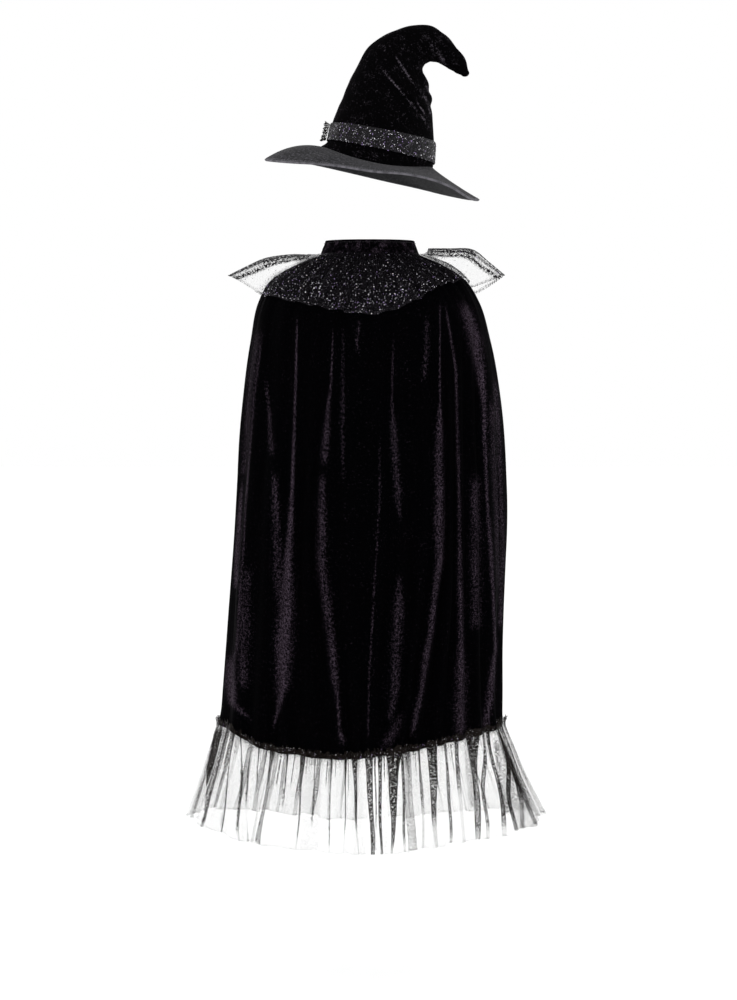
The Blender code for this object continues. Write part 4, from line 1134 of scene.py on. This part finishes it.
# Directions out of the cape without its finest wrinkles
outwardCalm = capeOut.copy()
for _ in range(12):
    outwardCalm[:, 1:-1] = (outwardCalm[:, :-2] + 2 * outwardCalm[:, 1:-1] + outwardCalm[:, 2:]) / 4
    outwardCalm[1:-1] = (outwardCalm[:-2] + 2 * outwardCalm[1:-1] + outwardCalm[2:]) / 4
outwardCalm = unit(outwardCalm)
shoulderGrid, uv, bunch, dense = shoulderFrillGrid()
shoulderPiece = gridObject("shoulderFrill", shoulderGrid, frillNetMaterial, uv, values={"bunch": bunch, "dense": dense})
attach(shoulderPiece, "root")
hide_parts("shoulder_frill")
print("shoulder frill done")

# Stand collar and its tab
collar = {
    "top": 0.0215, "underlap": 0.006, "lean": 0.0075, "inset": 0.0007, "wall": 0.0024,
    "frontGap": 4.5, "rows": 16, "columns": 220, "soft": 0.0005,
    "tabReach": 19.0, "tabBottom": 0.004, "tabTop": 0.018, "tabWall": 0.0016, "tabOut": 0.0022,
}


def neckPoints(angles, z, lean, outset):
    ring = sectionAt(0.0)
    for key in ("halfWidth", "back", "front"):
        ring[key] += outset - lean
    points = plainRing(ring, angles)
    points[:, 2] += z
    return points


def collarLean(z):
    return collar["lean"] * max(z, 0) / collar["top"]


def gridUv(grid):
    middle = grid[len(grid) // 2]
    u = np.concatenate([[0], np.cumsum(np.linalg.norm(np.diff(middle, axis=0), axis=1))])
    side = grid[:, grid.shape[1] // 2]
    v = np.concatenate([[0], np.cumsum(np.linalg.norm(np.diff(side, axis=0), axis=1))])
    return np.stack(np.broadcast_arrays(u[None, :], -v[:, None]), axis=-1)


def roundEdges(piece, width):
    bevel = piece.modifiers.new("rounded", "BEVEL")
    bevel.width = width
    bevel.segments = 2
    bevel.limit_method = "ANGLE"
    bevel.angle_limit = math.radians(50)


end = math.pi - math.radians(collar["frontGap"])
angles = np.linspace(-end, end, collar["columns"])
grid = []
for z in np.linspace(collar["top"], -collar["underlap"], collar["rows"]):
    soft = collar["soft"] * (waves(angles, z * 40 + 0 * angles, 41, 10, (0.5, 3.0), (0.1, 1.0)) - 1)
    ring = neckPoints(angles, z, collarLean(z), -collar["inset"])
    ring += unit(ring * (1, 1, 0)) * (soft * min(max(z, 0) / 0.006, 1))[:, None]
    grid.append(ring)
collarGrid = np.array(grid)
heights = np.linspace(0, 1, collar["rows"])[:, None]
turns = np.linspace(0, 1, collar["columns"])[None, :]
collarNap = 0.34 + 0.42 * ease(waves(turns * 9, heights * 1.5 + 0 * turns, 42, 16, (0.5, 3.0), (0.2, 1.2)))
collarPiece = gridObject("standCollar", collarGrid, velvetMaterial, gridUv(collarGrid), values={"nap": collarNap})
addWall(collarPiece, collar["wall"])
roundEdges(collarPiece, 0.0007)
reach = math.radians(collar["tabReach"])
angles = np.linspace(math.pi - reach, math.pi + reach, 60)
tabGrid = np.array([
    neckPoints(angles, z, collarLean(z), collar["tabOut"] - collar["inset"]) for z in np.linspace(collar["tabTop"], collar["tabBottom"], 12)
])
tabPiece = gridObject("neckTab", tabGrid, velvetMaterial, gridUv(tabGrid))
addWall(tabPiece, collar["tabWall"])
roundEdges(tabPiece, 0.0005)
for piece, node, grid, on in ((collarPiece, "stand_collar", collarGrid, capePieces["back"]), (tabPiece, "neck_tab", tabGrid, collarPiece)):
    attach(piece, "root")
    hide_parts(node)
print("collar done")

# Hat
hat = {
    "rows": 150, "columns": 200, "wall": 0.0016, "crumple": 0.0008, "deepCrumple": 0.0019,
    "bandClear": 0.0007, "bandWall": 0.0012, "bandRows": 26, "bandColumns": 300, "bandWrinkle": 0.0006,
}
# Rings of the crown: left and right ends, middle depth, and how far the back and the front hang
hatRings = np.array((
    (-0.0715, 0.1625, 0.0960, 0.1314, 0.010, 0.0160, -0.0080),
    (-0.0610, 0.1710, 0.0970, 0.1365, 0.009, 0.0020, -0.0020),
    (-0.0545, 0.1965, 0.0980, 0.1685, 0.007, 0.0015, -0.0010),
    (-0.0465, 0.2170, 0.0960, 0.1935, 0.005, 0.0, 0.0),
    (-0.0390, 0.2350, 0.0945, 0.2160, 0.003, 0.0, 0.0),
    (-0.0315, 0.2520, 0.0930, 0.2310, 0.001, 0.0, 0.0),
    (-0.0240, 0.2680, 0.0900, 0.2460, -0.001, 0.0, 0.0),
    (-0.0090, 0.2960, 0.0850, 0.2640, -0.003, 0.0, 0.0),
    (0.0080, 0.3165, 0.0810, 0.2760, -0.004, 0.0, 0.0),
    (0.0325, 0.3310, 0.0835, 0.2830, -0.005, 0.0, 0.0),
    (0.0620, 0.3405, 0.0890, 0.2870, -0.006, 0.0, 0.0),
    (0.0910, 0.3405, 0.0975, 0.2875, -0.006, 0.0, 0.0),
    (0.1130, 0.3280, 0.1060, 0.2850, -0.006, 0.0, 0.0),
    (0.1295, 0.3105, 0.1160, 0.2790, -0.005, 0.0, 0.0),
    (0.1435, 0.2920, 0.1270, 0.2730, -0.004, 0.0, 0.0),
    (0.1490, 0.2745, 0.1380, 0.2680, -0.003, 0.0, 0.0),
))
hatTip = np.array((0.1475, -0.003, 0.2665))
# Creases of the crown: from one end to the other, height and half width
creases = (
    (0.012, 0.292, 0.086, 0.204, 0.0045, 0.0075),
    (0.032, 0.306, 0.080, 0.244, 0.0045, 0.0070),
    (0.048, 0.262, 0.094, 0.226, 0.0035, 0.0060),
    (0.078, 0.330, 0.090, 0.290, 0.0030, 0.0060),
    (0.074, 0.258, 0.090, 0.250, 0.0022, 0.0030),
    (0.076, 0.246, 0.094, 0.236, 0.0024, 0.0028),
    (0.074, 0.230, 0.092, 0.222, 0.0022, 0.0030),
    (0.068, 0.216, 0.094, 0.206, 0.0018, 0.0035),
)


def crownRing(number, angles):
    leftX, leftZ, rightX, rightZ, middleY, backDrop, frontDrop = (
        float(smooth(min(number, 15), np.arange(16), hatRings[:, i])) for i in range(7)
    )
    middle = np.array(((leftX + rightX) / 2, middleY, (leftZ + rightZ) / 2))
    half = np.array(((rightX - leftX) / 2, 0, (rightZ - leftZ) / 2))
    reach = np.linalg.norm(half)
    turn = min(max(number - 15, 0), 1) * math.pi / 2
    middle = middle + (hatTip - middle) * math.sin(turn)
    half, reach = half * math.cos(turn), reach * math.cos(turn)
    sine, cosine = np.sin(angles), np.cos(angles)
    points = middle + np.outer(sine, half)
    points[:, 1] -= reach * cosine
    points[:, 2] -= np.where(cosine > 0, backDrop, frontDrop) * cosine**2
    return points


def crownGrid(numbers, columns):
    angles = np.linspace(0, 2 * math.pi, columns, endpoint=False)
    grid = np.array([crownRing(number, angles) for number in numbers])
    out = outward(grid, closed=True)
    facing = np.abs(out[:, :, 1])
    raised = np.zeros(grid.shape[:2])
    for fromX, fromZ, toX, toZ, high, halfWide in creases:
        start, way = np.array((fromX, fromZ)), np.array((toX - fromX, toZ - fromZ))
        flat = grid[:, :, (0, 2)] - start
        share = np.clip((flat @ way) / (way @ way), 0, 1)
        away = np.linalg.norm(flat - share[..., None] * way, axis=2)
        raised += high * np.sin(math.pi * np.clip(share, 0.06, 0.94)) * facing * np.exp(-((away / halfWide) ** 1.6))
    turn, level = angles[None, :] / (2 * math.pi), np.asarray(numbers)[:, None]
    # Whole turns keep the crumple closed round the crown
    maker = np.random.default_rng(51)
    crumple = np.zeros(grid.shape[:2])
    for _ in range(26):
        crumple += np.sin(2 * math.pi * (maker.integers(1, 9) * turn + maker.uniform(0.1, 0.9) * level + maker.uniform()))
    crumple /= 5.0
    creased = np.exp(-(((grid[:, :, 0] - 0.084) / 0.020) ** 2) - (((grid[:, :, 2] - 0.232) / 0.034) ** 2))
    raised += (hat["crumple"] + hat["deepCrumple"] * creased) * crumple * 0.6
    raised *= ease((level - 2.05) / 0.7) * ease((15.4 - level) / 1.2)
    return grid + out * raised[..., None]


crownNumbers = np.concatenate([np.linspace(15.9, 15, 8)[:-1], np.linspace(15, 0, hat["rows"] - 7)])
crown = crownGrid(crownNumbers, hat["columns"])


def closedUv(grid):
    widest = np.linalg.norm(grid - np.roll(grid, 1, axis=1), axis=2).sum(axis=1).max()
    u = np.arange(grid.shape[1]) / grid.shape[1] * widest
    side = grid[:, 0]
    v = np.concatenate([[0], np.cumsum(np.linalg.norm(np.diff(side, axis=0), axis=1))])
    return np.stack(np.broadcast_arrays(u[None, :], -v[:, None]), axis=-1)


# Painted highlight lines along the crown's creases: ends as seen from behind, half width, strength
paintedCreaseHighlights = (
    (0.0098, 0.2895, 0.0728, 0.2153, 0.0018, 1.10),
    (0.0345, 0.3053, 0.0728, 0.2468, 0.0020, 1.05),
    (0.0683, 0.2355, 0.0908, 0.1995, 0.0018, 0.95),
    (0.0968, 0.3165, 0.1148, 0.2835, 0.0036, 0.72),
    (0.0893, 0.3270, 0.0983, 0.3015, 0.0036, 0.70),
    (0.0848, 0.2565, 0.0938, 0.2340, 0.0020, 0.90),
    (0.0773, 0.2460, 0.0923, 0.2220, 0.0020, 0.90),
    (0.0863, 0.2280, 0.0953, 0.2040, 0.0022, 0.90),
    (0.0743, 0.2160, 0.0893, 0.1920, 0.0022, 0.80),
)


def paintedCreaseHighlightOf(grid):
    nearness = seenFrom["distance"] / (seenFrom["distance"] + grid[:, :, 1])
    x = grid[:, :, 0] * nearness
    z = seenFrom["height"] + (grid[:, :, 2] - seenFrom["height"]) * nearness
    nap = np.zeros(x.shape)
    for fromX, fromZ, toX, toZ, wide, strength in paintedCreaseHighlights:
        way = np.array((toX - fromX, toZ - fromZ))
        share = np.clip(((x - fromX) * way[0] + (z - fromZ) * way[1]) / (way @ way), 0, 1)
        away = np.hypot(x - fromX - share * way[0], z - fromZ - share * way[1])
        fade = np.sin(math.pi * np.clip(share, 0.12, 0.88))
        nap = np.maximum(nap, strength * fade * np.exp(-((away / wide) ** 2)))
    return nap


# The crown's "nap" attribute holds the painted crease highlights.
crownPiece = gridObject("hatCrown", crown, hatVelvetMaterial, closedUv(crown), closed=True, tip=hatTip, values={"nap": paintedCreaseHighlightOf(crown)})
addWall(crownPiece, hat["wall"])
bandBase = crownGrid(np.linspace(2, 1, hat["bandRows"]), hat["bandColumns"])
bandTurn = np.linspace(0, 1, hat["bandColumns"], endpoint=False)[None, :]
bandShare = np.linspace(0, 1, hat["bandRows"])[:, None]
maker = np.random.default_rng(52)
wrinkle = sum(
    np.sin(2 * math.pi * (maker.integers(3, 30) * bandTurn + maker.uniform(-1.2, 1.2) * bandShare + maker.uniform())) for _ in range(14)
) / 5
bandOut = outward(bandBase, closed=True)
bandGrid = bandBase + bandOut * (hat["bandWall"] + hat["bandClear"] + hat["bandWrinkle"] * (1 + wrinkle) * np.sin(math.pi * bandShare) ** 0.5)[..., None]
dense = np.broadcast_to(1.0 + 0 * bandTurn, bandGrid.shape[:2]).copy()
bandPiece = gridObject("hatBand", bandGrid, bandMaterial, closedUv(bandGrid), closed=True, values={"dense": dense})
print("crown and band done")

# The little net frill over the join of the band
bandFrill = {"out": 0.0078, "waves": 6, "columns": 90, "rows": 14, "wave": 0.0024, "overhang": 0.001}
left = round(hat["bandColumns"] * 3 / 4)
top, bottom = bandGrid[0, left], bandGrid[-1, left]
way = unit(top - bottom)
outLeft = bandOut[len(bandOut) // 2, left]
sideways = np.cross(way, outLeft)
share = np.linspace(0, 1, bandFrill["columns"])
height = np.linalg.norm(top - bottom) - bandFrill["overhang"]
maker = np.random.default_rng(53)
torn = 1 + 0.22 * np.convolve(maker.normal(0, 1, len(share) + 4), np.ones(5) / 5, "valid")
rows = []
for away in np.linspace(1, 0, bandFrill["rows"]):
    spread = (share - 0.5) * (1 + 0.25 * away) + 0.5
    wave = np.sin(2 * math.pi * bandFrill["waves"] * share + 1.5 * away) + 0.4 * np.sin(2 * math.pi * 11 * share)
    rows.append(
        bottom + np.outer(spread * height, way) + outLeft * (0.0012 + bandFrill["out"] * away * torn)[:, None]
        + np.outer(wave * bandFrill["wave"] * (0.3 + 0.7 * away), sideways)
    )
frillGrid = np.array(rows)
tuftBunch = np.broadcast_to(np.linspace(0.8, 1.0, bandFrill["rows"])[:, None], frillGrid.shape[:2]).copy()
tuftPiece = gridObject("bandFrill", frillGrid, netMaterial, gridUv(frillGrid), values={"bunch": tuftBunch, "dense": tuftBunch * 0 + 1})

# Brim
brim = {"radius": 0.1640, "shift": -0.007, "seamDrop": 0.0001, "innerShare": 0.95, "rows": 40, "columns": 240, "wall": 0.0030, "wave": 0.0006}
brimDrops = (
    (0, 0.035), (20, 0.029), (32, 0.0285), (45, 0.032), (62, 0.040), (90, 0.034), (115, 0.030), (135, 0.026), (150, 0.022),
    (180, 0.017), (205, 0.015), (225, 0.017), (250, 0.025), (270, 0.034), (290, 0.039), (315, 0.040), (340, 0.036),
)
angles = np.linspace(0, 2 * math.pi, brim["columns"], endpoint=False)
leftX, leftZ, rightX, rightZ, middleY, backDrop, frontDrop = hatRings[0]
seam = crownRing(0, angles)
seam[:, 2] -= brim["seamDrop"]
middle = np.array(((leftX + rightX) / 2, middleY, (leftZ + rightZ) / 2))
right = unit(np.array((rightX - leftX, 0, rightZ - leftZ)))
sine, cosine = np.sin(angles), np.cos(angles)
edge = middle + np.outer(brim["radius"] * sine + brim["shift"], right)
edge[:, 1] -= brim["radius"] * cosine
places = [row[0] + turn for turn in (-360, 0, 360) for row in brimDrops]
edgeDrop = smooth(np.mod(np.degrees(angles), 360), places, [row[1] for _ in range(3) for row in brimDrops])
seamDrop = np.where(cosine > 0, backDrop, frontDrop) * cosine**2 + brim["seamDrop"]
bend = 1.5 - 0.65 * sine
inner = seam.copy()
inner[:, :2] = middle[:2] + (seam[:, :2] - middle[:2]) * brim["innerShare"]
flatSeam = seam + np.outer(seamDrop, (0, 0, 1))
rows, edges = [inner], [np.zeros(len(angles))]
for share in np.linspace(0, 1, brim["rows"]) ** 0.9:
    points = flatSeam + (edge - flatSeam) * share
    points[:, 2] -= seamDrop + (edgeDrop - seamDrop) * share**bend
    points[:, 2] += brim["wave"] * share * sum(np.sin(k * angles + 2 * k + 3 * share) for k in (5, 8, 13)) * min((1 - share) * 8, 1)
    rows.append(points)
    edges.append(np.full(len(angles), float(ease((share - 0.965) / 0.03))))
brimGrid = np.array(rows)
brimPiece = gridObject("hatBrim", brimGrid, feltMaterial, closedUv(brimGrid), closed=True, values={"edge": np.array(edges)})
addWall(brimPiece, brim["wall"])
roundEdges(brimPiece, 0.0008)
addWall(bandPiece, hat["bandWall"])

for piece, node, slot, grid, held, on in (
    (crownPiece, "hat_crown", "black_velvet", crown, "stretched", brimPiece),
    (bandPiece, "hat_band", "black_glitter_cloth", bandGrid, "stretched", crownPiece),
    (tuftPiece, "band_frill", "black_glitter_net", frillGrid, "gathered", bandPiece),
    (brimPiece, "hat_brim", "charcoal_felt", brimGrid, "stretched", crownPiece),
):
    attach(piece, "root")
    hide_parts(node)
print("hat done")

# Glitter
glitter = {"shoulder": 95000, "hem": 16000, "band": 150000, "tuft": 25000}
for name, surface, density, size, seed in (
    ("shoulderGlitter", shoulderPiece, glitter["shoulder"], 0.00060, 61),
    ("hemGlitterLeft", hemPieces["leftFront"], glitter["hem"], 0.00045, 62),
    ("hemGlitterBack", hemPieces["back"], glitter["hem"], 0.00045, 63),
    ("hemGlitterRight", hemPieces["rightFront"], glitter["hem"], 0.00045, 64),
    ("bandGlitter", bandPiece, glitter["band"], 0.00060, 65),
    ("tuftGlitter", tuftPiece, glitter["tuft"], 0.00040, 66),
):
    flakes = scatterFlakes(name, surface, density, size, seed)
    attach(flakes, "root")

# Stitching: the hem seam, the collar's top edge, the brim's edge and the top and bottom of the hat band. A path at the
# end of the tab is worked out but not sewn.
neckAngles = np.linspace(-math.pi + 0.16, math.pi - 0.16, 360)
hemPath = np.concatenate([netPoints(np.linspace(0.004, hemLong[-1] - 0.004, 900), 0.0, np.full(900, 0.0032), 1.0)])
collarPath = neckPoints(neckAngles, collar["top"] - 0.004, collarLean(collar["top"] - 0.004), 0.0001 - collar["inset"])
tabPath = neckPoints(np.linspace(math.pi - reach * 0.93, math.pi - reach * 0.93, 2), collar["tabTop"] - 0.001, collarLean(collar["tabTop"]), collar["tabOut"] - collar["inset"])
brimPath = np.vstack([brimGrid[-3], brimGrid[-3][:1]]) + (0, 0, 0.0002)
bandTop = np.vstack([bandGrid[2], bandGrid[2][:1]]) + np.vstack([bandOut[2], bandOut[2][:1]]) * 0.0002
bandLow = np.vstack([bandGrid[-3], bandGrid[-3][:1]]) + np.vstack([bandOut[-3], bandOut[-3][:1]]) * 0.0002
for name, path, step, stitch, radius, material in (
    ("hemStitches", hemPath, 0.0040, 0.0030, 0.00030, threadMaterial),
    ("collarStitches", collarPath, 0.0034, 0.0024, 0.00024, threadMaterial),
    ("brimStitches", brimPath, 0.0036, 0.0026, 0.00028, greyThreadMaterial),
    ("bandTopStitches", bandTop, 0.0034, 0.0024, 0.00024, threadMaterial),
    ("bandLowStitches", bandLow, 0.0034, 0.0024, 0.00024, threadMaterial),
):
    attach(sewAlong(name, path, step, stitch, radius, material), "root")
print("glitter and stitches done")

# Floor, light and camera
studio = {"floor": -1.08, "floorSize": 60.0, "world": 1.0, "lens": 96.0, "cameraZ": -0.216, "distance": 4.0, "pitch": 2.15}
floorMesh = bpy.data.meshes.new("floor")
half = studio["floorSize"] / 2
floorMesh.from_pydata([(x, y, studio["floor"]) for x, y in ((-half, -half), (half, -half), (half, half), (-half, half))], [], [(0, 1, 2, 3)])
floorMaterial, tree, shader = newMaterial("paleFloor")
place = addNode(tree, "ShaderNodeTexCoord").outputs["Object"]
link(tree, mixColours(tree, noiseNode(tree, place, 3.0), (0.93, 0.93, 0.93), (0.96, 0.96, 0.96)), shader.inputs["Base Color"])
shader.inputs["Roughness"].default_value = 0.9
shader.inputs["Emission Color"].default_value = (1, 1, 1, 1)
shader.inputs["Emission Strength"].default_value = 0.12
floorMesh.materials.append(floorMaterial)
floor = bpy.data.objects.new("floor", floorMesh)
bpy.context.scene.collection.objects.link(floor)

world = bpy.data.worlds.new("studio")
world.use_nodes = True
world.node_tree.nodes["Background"].inputs["Color"].default_value = (1, 1, 1, 1)
world.node_tree.nodes["Background"].inputs["Strength"].default_value = studio["world"]
bpy.context.scene.world = world
bpy.context.scene.view_settings.view_transform = "Standard"


def addSoftLight(name, place, target, size, power):
    data = bpy.data.lights.new(name, "AREA")
    data.shape = "SQUARE"
    data.size = size
    data.energy = power
    light = bpy.data.objects.new(name, data)
    bpy.context.scene.collection.objects.link(light)
    light.location = place
    way = np.array(target) - np.array(place)
    light.rotation_euler = (math.atan2(math.hypot(way[0], way[1]), -way[2]), 0, math.atan2(-way[0], way[1]))


addSoftLight("keyLight", (-1.6, -3.4, 1.7), (0, 0, -0.3), 1.6, 26)
addSoftLight("fillLight", (2.3, -2.6, 0.4), (0, 0, -0.35), 1.8, 11)
addSoftLight("leftRim", (-2.4, 1.2, 0.8), (0, 0, -0.3), 1.4, 9)
addSoftLight("rightRim", (2.4, 1.2, 0.8), (0, 0, -0.3), 1.4, 9)

cameraData = bpy.data.cameras.new("camera")
cameraData.lens = studio["lens"]
cameraData.sensor_width = 36.0
camera = bpy.data.objects.new("camera", cameraData)
bpy.context.scene.collection.objects.link(camera)
camera.location = (0, -studio["distance"], studio["cameraZ"])
camera.rotation_euler = (math.radians(90 - studio["pitch"]), 0, 0)
bpy.context.scene.camera = camera
print("studio done")
